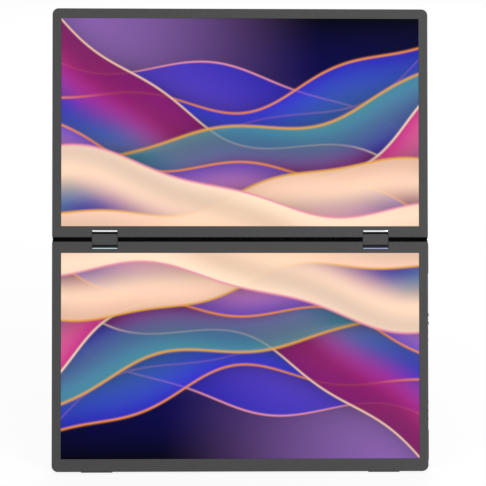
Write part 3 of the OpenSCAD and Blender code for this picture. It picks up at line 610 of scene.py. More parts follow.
def board_material(node, name, place, way):
    """Solder mask with tracks and pads on one board, and black packages where parts stand up from it."""
    material, tree, take = start_material(name)
    along = along_screens(tree, take["Object"])
    tracks = put(
        tree, "ShaderNodeTexBrick",
        {"Vector": along, "Scale": 420.0, "Mortar Size": 0.09, "Mortar Smooth": 0.2, "Brick Width": 1.3,
         "Row Height": 0.4},
        offset=0.35,
    )
    pads = put(tree, "ShaderNodeTexVoronoi", {"Vector": along, "Scale": 330.0, "Randomness": 0.6})
    pad = rescale(tree, pads.outputs["Distance"], 0.2, 0.24, 1.0, 0.0)
    colour = blend_colour(tree, tracks.outputs["Fac"], linear(18, 74, 48), linear(40, 120, 74))
    colour = blend_colour(tree, maths(tree, "MULTIPLY", pad, 0.8), colour, linear(196, 150, 70))
    outward = place.to_3x3().col[way]
    height = put(tree, "ShaderNodeVectorMath", {0: take["Object"], 1: outward}, operation="DOT_PRODUCT")
    top = place.translation.dot(outward) + extent(node, place)[0][way] + BOARD_THICKNESS
    raised = rescale(tree, height.outputs["Value"], top + PACKAGE_RISE[0], top + PACKAGE_RISE[1])
    speckle = noise(tree, take["Object"], 3000.0)
    package = ramp(tree, speckle, [(0.3, linear(20, 20, 21)), (0.7, linear(34, 34, 35))])
    inputs = {
        "Base Color": blend_colour(tree, raised, colour, package),
        "Roughness": rescale(tree, raised, 0, 1, 0.34, 0.55), "Specular IOR Level": 0.5,
    }
    surface(tree, inputs, tracks.outputs["Fac"], 0.00003, 0.5)
    return material


# Each board's node, its finish, the screen that it lies in and the axis that its parts stand up along
BOARDS = (
    ("main_board", "Main Board", LOWER, 1), ("lower_driver_board", "Lower Driver Board", LOWER, 1),
    ("upper_driver_board", "Upper Driver Board", UPPER, 1), ("button_board", "Button Board", LOWER, 0),
)
BOARD_THICKNESS = 0.8 * MM
# The heights above a board between which its packages set in
PACKAGE_RISE = (0.02 * MM, 0.05 * MM)


def film_material(name, colour, spots, gloss):
    """A thin film or light guide with rows of fine marks."""
    material, tree, take = start_material(name)
    along = along_screens(tree, take["Object"])
    dots = put(tree, "ShaderNodeTexVoronoi", {"Vector": along, "Scale": spots, "Randomness": 0.05})
    dots = dots.outputs["Distance"]
    mark = rescale(tree, dots, 0.25, 0.35, 0.7, 1.0)
    inputs = {
        "Base Color": vectors(tree, "MULTIPLY", colour, mark),
        "Roughness": rescale(tree, dots, 0, 1, gloss, gloss + 0.15),
    }
    surface(tree, inputs, dots, 0.00002, 0.5)
    return material


def net_material():
    """The fine net in front of each speaker."""
    material, tree, take = start_material("Speaker Net")
    net = place_effect(
        tree, "Woven Net", Vector=along_screens(tree, take["Object"]), Thread_Scale=520.0,
        Thread=linear(52, 52, 54), Hole=linear(6, 6, 7),
    )
    inputs = {"Base Color": net["Colour"], "Roughness": 0.7, "Specular IOR Level": 0.3}
    surface(tree, inputs, net["Height"], 0.0001)
    return material


# How much brighter the worn lines of the leaf are
LEAF_WORN = 1.35


def build_materials(look):
    """Every finish by its name. Those named as a slot of the record dress the carried-over nodes."""
    leaf_turn = math.atan2(LEAF[1][2], LEAF[2][2])
    leaf_worn = [LEAF_WORN * part for part in look.leaf_colour]
    return {
        "casing_plastic": grained(
            "Casing Plastic", look.casing_colour, 0.5, 2600.0, 0.00005, look.casing_sheen,
        ),
        "black_plastic": grained("Black Plastic", look.black_colour, 0.6, 3200.0, 0.00002, 0.04),
        "button_plastic": grained("Button Plastic", look.button_colour, 0.45, 3600.0, 0.00002),
        "speaker_plastic": net_material(),
        "cable_jacket": grained("Cable Jacket", linear(30, 30, 31), 0.6, 2200.0, 0.00003, 0.3, 0.1),
        "foot_rubber": grained("Foot Rubber", look.rubber_colour, 0.78, 1700.0, 0.00005, 0.25, 0.14, 0.1),
        "backlight_film": film_material("Light Guide", linear(232, 234, 238), 420.0, 0.3),
        "flex_film": film_material("Ribbon Film", linear(200, 132, 48), 900.0, 0.35),
        "hinge_steel": brushed(
            "Hinge Steel", linear(176, 178, 182), linear(214, 216, 220), 0.34, (4000, 4000, 60),
        ),
        "screw_steel": grained(
            "Screw Nickel", linear(150, 150, 154), 0.34, 1500.0, 0.00002, 0.5, 0.2, 0.16, metallic=1.0,
        ),
        "black_metal": grained("Black Metal", linear(10, 10, 11), 0.55, 2400.0, 0.00002, 0.05, 0.1),
        "port_steel": brushed(
            "Port Nickel", linear(196, 194, 190), linear(232, 230, 226), 0.26, (60, 3600, 3600),
        ),
        "stand_metal": brushed(
            "Leaf Anodised", look.leaf_colour, leaf_worn, 0.42, (1800, 60, 60), leaf_turn,
        ),
        "bright_metal": trim_with_painted_reflection("Upper Trim Metal", linear(251, 252, 253), linear(252, 252, 252)),
        # The lower trims' pale cyan to lavender colours are a painted reflection of the lit screens over
        # bright metal
        "lower_trim": trim_with_painted_reflection("Lower Trim Metal With Painted Reflection", linear(186, 212, 222), linear(156, 164, 208)),
        "contact_gold": brushed(
            "Contact Gold", linear(212, 168, 84), linear(236, 204, 130), 0.25, (900, 900, 60),
        ),
        "screen_glass": grained("Glass Edge", linear(14, 14, 18), 0.3, 1800.0, 0.00001, 0.5),
        **{board[0]: board_material(*board) for board in BOARDS},
    }


# ---- Sizes and colours that a user would change ----


def length(name, description, default, least=0.0):
    """A property that holds a length in metres."""
    return FloatProperty(name=name, description=description, default=default, min=least, unit="LENGTH")


def factor(name, description, default):
    """A property that holds a share from 0 to 1."""
    return FloatProperty(
        name=name, description=description, default=default, min=0, max=1, subtype="FACTOR",
    )


def paint(name, description, default):
    """A property that holds a colour."""
    return FloatVectorProperty(
        name=name, description=description, default=default, subtype="COLOR", size=3, min=0, max=1,
    )


class ExtenderSizes(bpy.types.PropertyGroup):
    """Sizes of the dressed pieces."""

    glass_hidden: length("Hidden Glass", "How far the glass reaches behind the bezel", 0.0025)
    black_border: length("Black Border", "Width of the dark line round the lit picture", 0.00012, 0.00005)
    glass_round: length("Glass Edge", "Rounding of the glass edges", 0.00015)
    trim_round: length("Trim Edge", "Rounding of the bright trims", 0.0001)
    trim_gap: length("Trim Gap", "Gap between each end of a trim and its notch", 0.00045)
    button_round: length("Button Edge", "Rounding of the button caps", 0.00032)
    cross_length: length("Cross Length", "Length of the cross in a screw head", 0.0014)
    cross_width: length("Cross Width", "Width of the cross in a screw head", 0.00035)
    cross_depth: length("Cross Depth", "Depth of the cross in a screw head", 0.00025)
    leaf_round: length("Leaf Edge", "Rounding of the leaf's edges", 0.0003)
    leaf_corner: length("Leaf Corner", "Radius of the leaf's corners at its foot", 0.006, 0.001)
    leaf_thickness: length("Leaf Thickness", "Thickness of the leaf", 0.0012, 0.0005)
    barrel_width: length("Barrel Width", "Width of each of the leaf's hinge barrels", 0.024, 0.001)
    barrel_bore: length("Barrel Bore", "Radius of the bore in the leaf's barrels", 0.00065, 0.0001)
    casing_round: length("Casing Round", "Rounding of the casing's back edges", 0.002, 0.0001)
    foot_rim: length("Foot Rim", "Rim round the channel under each foot", 0.0003)
    foot_channel: length("Foot Channel", "Depth of the channel under each foot", 0.0003, 0.00005)
    foot_ribs: IntProperty(
        name="Foot Ribs", description="Number of grip ribs in the channel under each foot", default=14, min=2,
    )
    rib_width: length("Rib Width", "Width of each grip rib", 0.0009, 0.0001)


class ExtenderLook(bpy.types.PropertyGroup):
    """Colours of the finishes and the light on them."""

    casing_colour: paint("Casing", "Colour of both casings", linear(60, 60, 60))
    casing_sheen: factor("Casing Sheen", "Strength of the casing's reflections", 0.35)
    black_colour: paint("Black Parts", "Colour of the rolls, wells and strips", linear(7, 7, 8))
    button_colour: paint("Buttons", "Colour of the button caps", linear(48, 48, 48))
    rubber_colour: paint("Rubber", "Colour of the feet and pads", linear(38, 38, 39))
    leaf_colour: paint("Leaf", "Colour of the stand's leaf", linear(96, 97, 100))
    floor_shadow: factor("Floor Shadow", "How strongly the floor shows the object's shadow", 0.13)
    ambient: FloatProperty(
        name="Ambient", description="Strength of the even light from all sides", default=0.6, min=0,
    )


# ---- Geometry Nodes trees for what repeats ----


def repeat_tree(name, inputs):
    """A tree that starts from points and takes a material. Returns it with the sockets that it takes."""
    tree = bpy.data.node_groups.new(name, "GeometryNodeTree")
    add_sockets(tree, "INPUT", {"Points": "Geometry", **inputs, "Material": "Material"})
    add_sockets(tree, "OUTPUT", {"Geometry": "Geometry"})
    return tree, tree.nodes.new("NodeGroupInput").outputs


def set_on_points(tree, template, points, outward):
    """Sets a template on every point, with its z axis facing outwards."""
    facing = put(tree, "FunctionNodeAlignRotationToVector", {"Vector": outward}, axis="Z")
    inputs = {"Points": points, "Instance": template, "Rotation": facing.outputs[0]}
    return put(tree, "GeometryNodeInstanceOnPoints", inputs).outputs[0]


def end_tree(tree, take, instances):
    """Ends a tree in real, painted faces."""
    real = put(tree, "GeometryNodeRealizeInstances", {0: instances}).outputs[0]
    painted = put(tree, "GeometryNodeSetMaterial", {"Geometry": real, "Material": take["Material"]})
    feed(tree, tree.nodes.new("NodeGroupOutput").inputs[0], painted.outputs[0])


def along_z(tree, value):
    return put(tree, "ShaderNodeCombineXYZ", {2: value}).outputs[0]


def shifted(tree, geometry, height):
    """Geometry moved along its z axis."""
    inputs = {"Geometry": geometry, "Translation": along_z(tree, height)}
    return put(tree, "GeometryNodeTransform", inputs).outputs[0]


# Where a shank starts, as a share of its head's height, so that the two overlap
SHANK_START = 0.9


def screw_tree():
    """Cross-head screws, each turned its own way: a cross cut into a head with a sloped rim, on a shank."""
    tree, take = repeat_tree(
        "Cross Head Screws",
        {"Outward": (0, 0, 1), "Head Radius": 0.0013, "Head Height": 0.0005, "Rim": 0.00012,
         "Shank Radius": 0.0007, "Shank Length": 0.003, "Cross Length": 0.0014, "Cross Width": 0.00035,
         "Cross Depth": 0.00025, "Seed": 7},
    )
    below = maths(tree, "SUBTRACT", take["Head Height"], take["Rim"])
    inputs = {"Vertices": 32, "Radius": take["Head Radius"], "Depth": below}
    body = put(tree, "GeometryNodeMeshCylinder", inputs).outputs
    inputs = {"Mesh": body["Mesh"], "Selection": body["Top"], "Offset Scale": take["Rim"]}
    raised = put(tree, "GeometryNodeExtrudeMesh", inputs, mode="FACES").outputs
    narrow = maths(tree, "SUBTRACT", take["Head Radius"], take["Rim"])
    narrow = maths(tree, "DIVIDE", narrow, take["Head Radius"])
    inputs = {"Geometry": raised["Mesh"], "Selection": raised["Top"], "Scale": narrow}
    head = put(tree, "GeometryNodeScaleElements", inputs, domain="FACE").outputs[0]
    head = shifted(tree, head, maths(tree, "SUBTRACT", product(tree, below, -0.5), take["Rim"]))
    cross = put(tree, "GeometryNodeMeshBoolean", operation="UNION", solver="EXACT")
    deep = product(tree, take["Cross Depth"], 2.0)
    for first, second in (("Cross Length", "Cross Width"), ("Cross Width", "Cross Length")):
        size = put(tree, "ShaderNodeCombineXYZ", {0: take[first], 1: take[second], 2: deep}).outputs[0]
        bar = put(tree, "GeometryNodeMeshCube", {"Size": size}).outputs[0]
        tree.links.new(bar, cross.inputs["Mesh 2"])
    cut = put(tree, "GeometryNodeMeshBoolean", {"Mesh 1": head}, operation="DIFFERENCE", solver="EXACT")
    tree.links.new(cross.outputs[0], cut.inputs["Mesh 2"])
    inputs = {"Vertices": 20, "Radius": take["Shank Radius"], "Depth": take["Shank Length"]}
    shank = put(tree, "GeometryNodeMeshCylinder", inputs).outputs[0]
    start = product(tree, take["Head Height"], -SHANK_START)
    shank = shifted(tree, shank, maths(tree, "MULTIPLY_ADD", take["Shank Length"], -0.5, start))
    both = put(tree, "GeometryNodeJoinGeometry")
    for part in (cut.outputs[0], shank):
        tree.links.new(part, both.inputs[0])
    placed = set_on_points(tree, both.outputs[0], take["Points"], take["Outward"])
    turn = put(tree, "FunctionNodeRandomValue", {3: math.pi, "Seed": take["Seed"]}, data_type="FLOAT")
    inputs = {"Instances": placed, "Rotation": along_z(tree, turn.outputs[1])}
    end_tree(tree, take, put(tree, "GeometryNodeRotateInstances", inputs).outputs[0])
    return tree


def bar_tree():
    """Rows of small bars from each starting point, such as contacts on a tongue or ribs under a foot."""
    tree, take = repeat_tree(
        "Bar Rows",
        {"Count": 6, "Step": (0.001, 0, 0), "Bar": (0.0003, 0.002, 0.0001), "Outward": (0, 0, 1)},
    )
    inputs = {"Count": take["Count"], "Offset": take["Step"]}
    row = put(tree, "GeometryNodeMeshLine", inputs, mode="OFFSET").outputs[0]
    bar = put(tree, "GeometryNodeMeshCube", {"Size": take["Bar"]}).outputs[0]
    line = set_on_points(tree, bar, row, take["Outward"])
    rows = put(tree, "GeometryNodeInstanceOnPoints", {"Points": take["Points"], "Instance": line})
    end_tree(tree, take, rows.outputs[0])
    return tree


# Each tree by the function that builds it, once it is built
TREES = {}


def tree_of(build):
    """The tree that a function builds, built only once."""
    if build not in TREES:
        TREES[build] = build()
    return TREES[build]


def baked(name, points, build, values, material, body, replaced=()):
    """Runs a tree on some points and turns the result into a plain piece."""
    tree = tree_of(build)
    mesh = bpy.data.meshes.new(name + "_points")
    mesh.from_pydata([tuple(p) for p in points], [], [])
    holder = bpy.data.objects.new(name + "_points", mesh)
    bpy.context.scene.collection.objects.link(holder)
    modifier = holder.modifiers.new("Repeat", "NODES")
    modifier.node_group = tree
    sockets = {s.name: s.identifier for s in tree.interface.items_tree if s.in_out == "INPUT"}
    for label, value in {**values, "Material": material}.items():
        modifier[sockets[label]] = value
    holder.update_tag()
    shown = holder.evaluated_get(bpy.context.evaluated_depsgraph_get())
    made = bpy.data.meshes.new_from_object(shown)
    made.name = name
    holder.modifiers.clear()
    bpy.data.objects.remove(holder)
    if not made.polygons:
        raise RuntimeError(name + " came out empty")
    return enter(name, made, [material], body, replaced)


# ---- Operators ----


class ExtenderStep:
    """What every step of the dressing shares."""

    bl_options = {"REGISTER", "UNDO"}

    @property
    def sizes(self):
        return bpy.context.scene.extender_sizes

    @property
    def look(self):
        return bpy.context.scene.extender_look


# Every finish by its name, once it is built
FINISHES = {}


class EXTENDER_OT_finishes(ExtenderStep, bpy.types.Operator):
    """Build the shared effects and dress the carried-over nodes in their finishes"""

    bl_idname = "extender.finishes"
    bl_label = "Finishes"

    def execute(self, context):
        build_effects()
        FINISHES.update(build_materials(self.look))
        for name, node in NODES.items():
            for index, old in enumerate(node.data.materials):
                node.data.materials[index] = FINISHES[name if name in FINISHES else old.name]
        return {"FINISHED"}


class EXTENDER_OT_screens(ExtenderStep, bpy.types.Operator):
    """Build both glass cells with their lit pictures"""

    bl_idname = "extender.screens"
    bl_label = "Screens"

    def execute(self, context):
        sizes = self.sizes
        for name, place, way in (("upper", UPPER, 1), ("lower", LOWER, -1)):
            low, high = extent(name + "_display", place)
            inset = Vector((sizes.glass_hidden, 0, sizes.glass_hidden))
            lit_low, lit_high = low + inset, high - inset
            lit = (lit_high.x - lit_low.x, lit_high.z - lit_low.z)
            if name == "upper":
                picture = picture_material(sizes.black_border, lit)
            bm = bmesh.new()
            slab(bm, low, high, sizes.glass_round)
            grid = bm.loops.layers.uv.new("Picture")
            for face in bm.faces:
                front = all(abs(v.co.y - low.y) < NEAR for v in face.verts)
                face.material_index = 0 if front else 1
                for loop in face.loops:
                    across = (loop.vert.co.x - lit_low.x) / lit[0]
                    up = (loop.vert.co.z - lit_low.z) / lit[1]
                    loop[grid].uv = (across, up) if way > 0 else (1 - across, up)
            materials = [picture, FINISHES["screen_glass"]]
            piece(name + "_glass", bm, place, materials, name + "_panel", [name + "_display"])
        return {"FINISHED"}


# Each screen's trims: axes, finish, chamfer towards the knuckle and gap at the end of their seat
TRIMS = (
    ("upper", UPPER, "bright_metal", 0.48 * MM, 0.16 * MM),
    ("lower", LOWER, "lower_trim", 0.18 * MM, 0.24 * MM),
)


class EXTENDER_OT_trims(ExtenderStep, bpy.types.Operator):
    """Build the four polished trims at the hinge notches"""

    bl_idname = "extender.trims"
    bl_label = "Trims"

    def execute(self, context):
        edge, gap = self.sizes.trim_round, self.sizes.trim_gap
        for name, place, finish, cut, short in TRIMS:
            bm = bmesh.new()
            for low, high in lumps(name + "_trims", place):
                end = high.z - short
                outline = [
                    (low.y, low.z + cut), (low.y + cut, low.z), (high.y, low.z), (high.y, end),
                    (low.y, end),
                ]
                faces = bar_along_x(bm, outline, low.x + gap, high.x - gap)
                round_edges(bm, edges_of(faces), edge)
            node, body = name + "_trims", name + "_panel"
            piece(name + "_trim_strips", bm, place, [FINISHES[finish]], body, [node])
        return {"FINISHED"}


BUTTONS = (
    "power_button", "menu_button", "first_plus_button", "first_minus_button", "input_button",
    "second_plus_button", "second_minus_button",
)
# The flange round a cap's foot: its reach, thickness and rounding
FLANGE, FLANGE_THICKNESS, FLANGE_ROUND = 0.5 * MM, 0.7 * MM, 0.1 * MM
# The stem under a cap: its reach, width and rounding, and how far it is sunk into the cap
STEM, STEM_WIDTH, STEM_ROUND, STEM_SUNK = 0.4 * MM, 1 * MM, 0.08 * MM, 0.05 * MM


class EXTENDER_OT_buttons(ExtenderStep, bpy.types.Operator):
    """Build the seven button caps with their flanges and stems"""

    bl_idname = "extender.buttons"
    bl_label = "Buttons"

    def execute(self, context):
        side = self.sizes.button_round
        for name in BUTTONS:
            low, high = extent(name, LOWER)
            start = low.x + STEM
            bm = bmesh.new()
            cap = rounded_rectangle(
                (low.y + FLANGE, low.z + FLANGE), (high.y - FLANGE, high.z - FLANGE), [2 * side] * 4, 4,
            )
            faces = bar_along_x(bm, cap, start, high.x)
            round_edges(bm, edges_of(faces[1:2]), side, 4)
            slab(bm, (start, low.y, low.z), (start + FLANGE_THICKNESS, high.y, high.z), FLANGE_ROUND, 2)
            middle = (low + high) / 2
            half = Vector((0, STEM_WIDTH / 2, STEM_WIDTH / 2))
            middle.x = low.x
            foot = middle - half
            middle.x = start + STEM_SUNK
            slab(bm, foot, middle + half, STEM_ROUND, 2)
            finish = [FINISHES["button_plastic"]]
            piece(name + "_cap", bm, LOWER, finish, name, [name])
        return {"FINISHED"}


# Each set of screws: node, axes, body, height of a head, and a cross's size and a shank's radius as shares
SCREWS = (
    ("upper_cover_screws", UPPER, "upper_panel", 0.5 * MM, 1.0, 0.54),
    ("lower_cover_screws", LOWER, "lower_panel", 0.5 * MM, 1.0, 0.54),
    ("upper_bracket_screws", UPPER, "upper_panel", 0.5 * MM, 1.0, 0.54),
    ("lower_bracket_screws", LOWER, "lower_panel", 0.5 * MM, 1.0, 0.54),
    ("link_screws", UPPER, "hinge_link", 0.35 * MM, 0.72, 0.5),
)
# Height and width of the slope round a screw's head
SCREW_RIM = 0.1 * MM


class EXTENDER_OT_screws(ExtenderStep, bpy.types.Operator):
    """Build every screw with its cross head"""

    bl_idname = "extender.screws"
    bl_label = "Screws"

    def execute(self, context):
        sizes = self.sizes
        for seed, (node, place, body, height, share, shank) in enumerate(SCREWS):
            found = lumps(node, place)
            low, high = found[0]
            radius = (high.x - low.x) / 2
            heads = [place @ Vector(((a.x + b.x) / 2, b.y, (a.z + b.z) / 2)) for a, b in found]
            values = {
                "Outward": DEPTH, "Head Radius": radius, "Head Height": height, "Rim": SCREW_RIM,
                "Shank Radius": radius * shank, "Shank Length": high.y - low.y - height,
                "Cross Length": sizes.cross_length * share, "Cross Width": sizes.cross_width * share,
                "Cross Depth": sizes.cross_depth * share, "Seed": seed,
            }
            name = node.replace("screws", "screw_set")
            baked(name, heads, screw_tree, values, FINISHES["screw_steel"], body, [node])
        return {"FINISHED"}


# The side pads' corners and rounding, and the rounding of the strip along the leaf's foot
PAD_CORNER, PAD_ROUND = 1.1 * MM, 0.25 * MM
STRIP_ROUND = 0.15 * MM


class EXTENDER_OT_pads(ExtenderStep, bpy.types.Operator):
    """Build the soft pads on the right side and the strip along the leaf's foot"""

    bl_idname = "extender.pads"
    bl_label = "Soft Pads"

    def execute(self, context):
        rubber = FINISHES["foot_rubber"]
        bm = bmesh.new()
        for low, high in lumps("side_pads", LOWER):
            flat = rounded_rectangle((low.y, low.z), (high.y, high.z), [PAD_CORNER] * 4, 5)
            faces = bar_along_x(bm, flat, low.x, high.x)
            round_edges(bm, edges_of(faces[1:2]), PAD_ROUND)
        piece("side_soft_pads", bm, LOWER, [rubber], "lower_panel", ["side_pads"])

        low, high = extent("stand_foot_pad", LEAF)
        radius = (high.y - low.y) / 2
        middle = ((low.y + high.y) / 2, high.z - radius)
        outline = [(low.y, low.z), (low.y, middle[1])] + arc(middle, radius, 180, 0, 10)[1:-1]
        outline += [(high.y, middle[1]), (high.y, low.z)]
        bm = bmesh.new()
        faces = bar_along_x(bm, outline, low.x, high.x)
        round_edges(bm, edges_of(faces[:2]), STRIP_ROUND, 2)
        piece("leaf_foot_strip", bm, LEAF, [rubber], "stand", ["stand_foot_pad"])
        return {"FINISHED"}


# Rounding of the feet's ends
FOOT_ROUND = 0.2 * MM


class EXTENDER_OT_feet(ExtenderStep, bpy.types.Operator):
    """Build the rubber feet that wrap the lower edge, with grip ribs where they lie on the table"""

    bl_idname = "extender.feet"
    bl_label = "Feet"

    def execute(self, context):
        sizes = self.sizes
        rubber = FINISHES["foot_rubber"]
        casing = extent("lower_back_cover", LOWER)[1]
        back_round = sizes.casing_round
        corner = (casing.y - back_round, casing.z - back_round)
        bm = bmesh.new()
        starts = []
        for low, high in lumps("edge_feet", LOWER):
            level_y = (LOWER.translation.z - high.z * math.cos(LEAN)) / math.sin(LEAN)
            first = Vector((level_y, high.z))
            last = Vector((high.y, high.z - (high.y - level_y) * math.tan(LEAN)))
            along = (last - first).normalized()
            inward = Vector((along.y, -along.x))
            rim, deep = along * sizes.foot_rim, inward * sizes.foot_channel
            outline = [
                (low.y, casing.z), (low.y, high.z), first, first + rim, first + rim + deep, last - rim + deep,
                last - rim, last, (high.y, low.z), (casing.y, low.z),
            ]
            outline += arc(corner, back_round, 0, 90, 6)
            faces = bar_along_x(bm, outline, low.x, high.x)
            round_edges(bm, edges_of(faces[:2]), FOOT_ROUND, 2)
            step = (high.x - low.x - 4 * sizes.foot_rim) / sizes.foot_ribs
            middle = (first + last + deep) / 2
            starts.append(LOWER @ Vector((low.x + 2 * sizes.foot_rim + step / 2, *middle)))
        piece("edge_foot_blocks", bm, LOWER, [rubber], "lower_panel", ["edge_feet"])
        values = {
            "Count": sizes.foot_ribs, "Step": (step, 0, 0),
            "Bar": (sizes.rib_width, (last - first).length - 2 * sizes.foot_rim, sizes.foot_channel),
            "Outward": (0, 0, 1),
        }
        baked("foot_grip_ribs", starts, bar_tree, values, rubber, "lower_panel")
        return {"FINISHED"}


# The web from each barrel into the leaf: its start in bores, its end in barrel radii and its rounding
WEB_START, WEB_END = 1.3, 2.5
WEB_ROUND = 0.1 * MM


class EXTENDER_OT_stand(ExtenderStep, bpy.types.Operator):
    """Build the leaf of the stand with its rounded edges and hinge barrels"""

    bl_idname = "extender.stand"
    bl_label = "Stand"

    def execute(self, context):
        sizes = self.sizes
        low, high = extent("stand_leaf", LEAF)
        barrel_r, corner = high.y, sizes.leaf_corner
        inner = barrel_r - sizes.leaf_thickness
        bm = bmesh.new()
        flat = rounded_rectangle((low.x, barrel_r), (high.x, high.z), [0, 0, corner, corner], 10)
        faces = prism(bm, [(x, inner, z) for x, z in flat], (0, sizes.leaf_thickness, 0))
        round_edges(bm, edges_of(faces[:2]), sizes.leaf_round)
        for pin_low, pin_high in lumps("stand_pins", LOWER):
            start = (pin_low.x + pin_high.x - sizes.barrel_width) / 2
            end = start + sizes.barrel_width
            rings = [ring_x(start, (0, 0), radius) for radius in (barrel_r, sizes.barrel_bore)]
            tube(bm, *rings, (sizes.barrel_width, 0, 0))
            web = (start, inner, WEB_START * sizes.barrel_bore), (end, barrel_r, WEB_END * barrel_r)
            slab(bm, *web, WEB_ROUND, 2)
        metal = [FINISHES["stand_metal"]]
        piece("stand_leaf_plate", bm, LEAF, metal, "stand", ["stand_leaf"])
        return {"FINISHED"}


# Each kind of socket: node, its contacts' name, number on a face and pitch, and the tongue's thickness
SOCKET_CONTACTS = (
    ("usb_c_ports", "usb_c_contacts", 12, 0.5 * MM, 0.7 * MM),
    ("mini_hdmi_port", "mini_hdmi_contacts", 10, 0.75 * MM, 0.6 * MM),
)
# The contacts' middle from the mouth, their length and thickness, and their width as a share of the pitch
CONTACT_MIDDLE, CONTACT_LENGTH, CONTACT_THICKNESS = 2.2 * MM, 2.2 * MM, 0.06 * MM
CONTACT_SHARE = 0.5


class EXTENDER_OT_contacts(ExtenderStep, bpy.types.Operator):
    """Build the gold contacts on the tongues of the sockets"""

    bl_idname = "extender.contacts"
    bl_label = "Contacts"

    def execute(self, context):
        along = LOWER.to_3x3().col[2]
        for node, name, count, pitch, tongue in SOCKET_CONTACTS:
            starts = []
            for low, high in lumps(node, LOWER):
                middle = (low + high) / 2
                z = middle.z - (count - 1) / 2 * pitch
                for y in (middle.y - tongue / 2, middle.y + tongue / 2):
                    starts.append(LOWER @ Vector((low.x + CONTACT_MIDDLE, y, z)))
            values = {
                "Count": count, "Step": along * pitch,
                "Bar": (CONTACT_LENGTH, pitch * CONTACT_SHARE, CONTACT_THICKNESS), "Outward": DEPTH,
            }
            baked(name, starts, bar_tree, values, FINISHES["contact_gold"], "lower_panel")
        return {"FINISHED"}


# The camera's angles in radians, its distance and lens, and the point on the screens' face that it aims at
CAMERA = {
    "azimuth": math.radians(-1.2723), "elevation": math.radians(18.8052), "roll": math.radians(0.417),
    "distance": 1.5, "lens": 115.808, "aim_x": 0.002414, "aim_z": 0.20775,
}


def add_camera():
    """A long lens nearly square on to the screens."""
    azimuth, elevation, roll = CAMERA["azimuth"], CAMERA["elevation"], CAMERA["roll"]
    level = math.cos(elevation)
    back = Vector((math.sin(azimuth) * level, -math.cos(azimuth) * level, math.sin(elevation)))
    origin = UPPER.translation
    rise = CAMERA["aim_z"] - origin.z
    aim = Vector((origin.x + CAMERA["aim_x"], origin.y + rise * math.tan(LEAN), CAMERA["aim_z"]))
    right = Vector((0, 0, 1)).cross(back).normalized()
    up = back.cross(right)
    data = bpy.data.cameras.new("Camera")
    data.lens = CAMERA["lens"]
    data.sensor_width = 36
    data.dof.use_dof = False
    camera = bpy.data.objects.new("Camera", data)
    camera.matrix_world = axes(
        aim + back * CAMERA["distance"],
        right * math.cos(roll) + up * math.sin(roll), up * math.cos(roll) - right * math.sin(roll), back,
    )
    bpy.context.scene.collection.objects.link(camera)
    bpy.context.scene.camera = camera


def seen_plainly(tree):
    """1 for the rays that show a backdrop as it is: from the camera, from gloss and through glass."""
    path = tree.nodes.new("ShaderNodeLightPath").outputs
    direct = maths(tree, "MAXIMUM", path["Is Camera Ray"], path["Is Glossy Ray"])
    return maths(tree, "MAXIMUM", direct, path["Is Transmission Ray"])


WHITE = (1.0, 1.0, 1.0)
# Half the side of the floor in metres
FLOOR_HALF = 7.0


def add_floor(look):
    """A wide pale floor that keeps the object's shadow."""
    mesh = bpy.data.meshes.new("studio_floor")
    corners = [(x * FLOOR_HALF, y * FLOOR_HALF, 0) for x, y in ((-1, -1), (1, -1), (1, 1), (-1, 1))]
    mesh.from_pydata(corners, [], [(0, 1, 2, 3)])
    floor = bpy.data.objects.new("studio_floor", mesh)
    bpy.context.scene.collection.objects.link(floor)
    material, tree, take = start_material("Studio Floor")
    shade = rescale(tree, noise(tree, take["Object"], 3.0), 0, 1, 0.97, 1.0)
    matte = put(tree, "ShaderNodeBsdfDiffuse", {"Color": vectors(tree, "MULTIPLY", WHITE, shade)}).outputs[0]
    glow = put(tree, "ShaderNodeEmission", {"Color": WHITE, "Strength": 1.0}).outputs[0]
    lit = put(tree, "ShaderNodeMixShader", {0: look.floor_shadow, 1: glow, 2: matte}).outputs[0]
    shown = put(tree, "ShaderNodeMixShader", {0: seen_plainly(tree), 1: matte, 2: lit})
    put(tree, "ShaderNodeOutputMaterial", {"Surface": shown.outputs[0]})
    mesh.materials.append(material)


def add_world(look):
    """Even light from all sides, and plain white where the backdrop is seen."""
    world = bpy.data.worlds.new("Studio")
    world.use_nodes = True
    tree = world.node_tree
    tree.nodes.clear()
    even = put(tree, "ShaderNodeBackground", {"Color": WHITE, "Strength": look.ambient}).outputs[0]
    white = put(tree, "ShaderNodeBackground", {"Color": WHITE, "Strength": 1.0}).outputs[0]
    shown = put(tree, "ShaderNodeMixShader", {0: seen_plainly(tree), 1: even, 2: white})
    put(tree, "ShaderNodeOutputWorld", {"Surface": shown.outputs[0]})
    bpy.context.scene.world = world


# Each lamp: name, place, side and power. All three point at LAMP_AIM
LAMPS = (
    ("Key Lamp", (1.7, -1.7, 1.4), 1.4, 28), ("Fill Lamp", (-1.7, -1.5, 1.3), 1.6, 7),
    ("Back Lamp", (0.4, 2.0, 1.6), 1.4, 24),
)
LAMP_AIM = Vector((0, 0, 0.2))


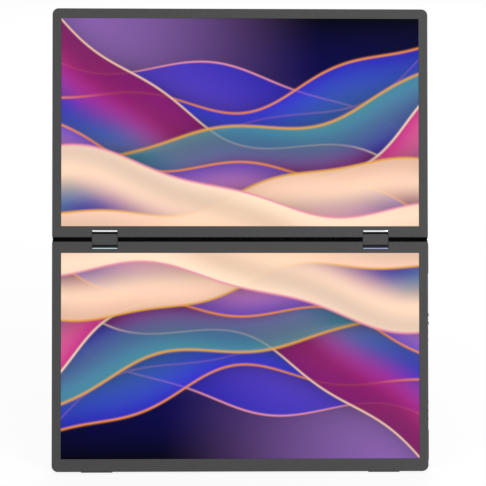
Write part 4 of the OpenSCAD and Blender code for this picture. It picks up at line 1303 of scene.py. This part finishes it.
def add_lamp(name, place, side, power):
    data = bpy.data.lights.new(name, "AREA")
    data.shape = "SQUARE"
    data.size = side
    data.energy = power
    lamp = bpy.data.objects.new(name, data)
    lamp.location = place
    lamp.rotation_euler = (LAMP_AIM - Vector(place)).to_track_quat("-Z", "Y").to_euler()
    bpy.context.scene.collection.objects.link(lamp)


class EXTENDER_OT_studio(ExtenderStep, bpy.types.Operator):
    """Set up the camera, the floor, the even light and three soft lamps"""

    bl_idname = "extender.studio"
    bl_label = "Studio"

    def execute(self, context):
        look = self.look
        add_camera()
        add_floor(look)
        add_world(look)
        for lamp in LAMPS:
            add_lamp(*lamp)
        context.scene.view_settings.view_transform = "Standard"
        return {"FINISHED"}


STEPS = (
    EXTENDER_OT_finishes, EXTENDER_OT_screens, EXTENDER_OT_trims, EXTENDER_OT_buttons, EXTENDER_OT_screws,
    EXTENDER_OT_pads, EXTENDER_OT_feet, EXTENDER_OT_stand, EXTENDER_OT_contacts, EXTENDER_OT_studio,
)


class EXTENDER_PT_pieces(bpy.types.Panel):
    """The steps that dress the extender"""

    bl_idname = "EXTENDER_PT_pieces"
    bl_label = "Twin Screen Extender"
    bl_space_type = "VIEW_3D"
    bl_region_type = "UI"
    bl_category = "Extender"

    def draw(self, context):
        for step in STEPS:
            self.layout.operator(step.bl_idname)
        for group in (context.scene.extender_sizes, context.scene.extender_look):
            box = self.layout.box()
            for name in group.bl_rna.properties.keys():
                if name not in ("rna_type", "name"):
                    box.prop(group, name)


CLASSES = (ExtenderSizes, ExtenderLook, *STEPS, EXTENDER_PT_pieces)


def register():
    for cls in CLASSES:
        bpy.utils.register_class(cls)
    bpy.types.Scene.extender_sizes = PointerProperty(type=ExtenderSizes)
    bpy.types.Scene.extender_look = PointerProperty(type=ExtenderLook)


def unregister():
    del bpy.types.Scene.extender_look
    del bpy.types.Scene.extender_sizes
    for cls in reversed(CLASSES):
        bpy.utils.unregister_class(cls)


def main():
    register()
    bpy.ops.extender.finishes()
    bpy.ops.extender.screens()
    bpy.ops.extender.trims()
    bpy.ops.extender.buttons()
    bpy.ops.extender.screws()
    bpy.ops.extender.pads()
    bpy.ops.extender.feet()
    bpy.ops.extender.stand()
    bpy.ops.extender.contacts()
    bpy.ops.extender.studio()


if __name__ == "__main__":
    main()
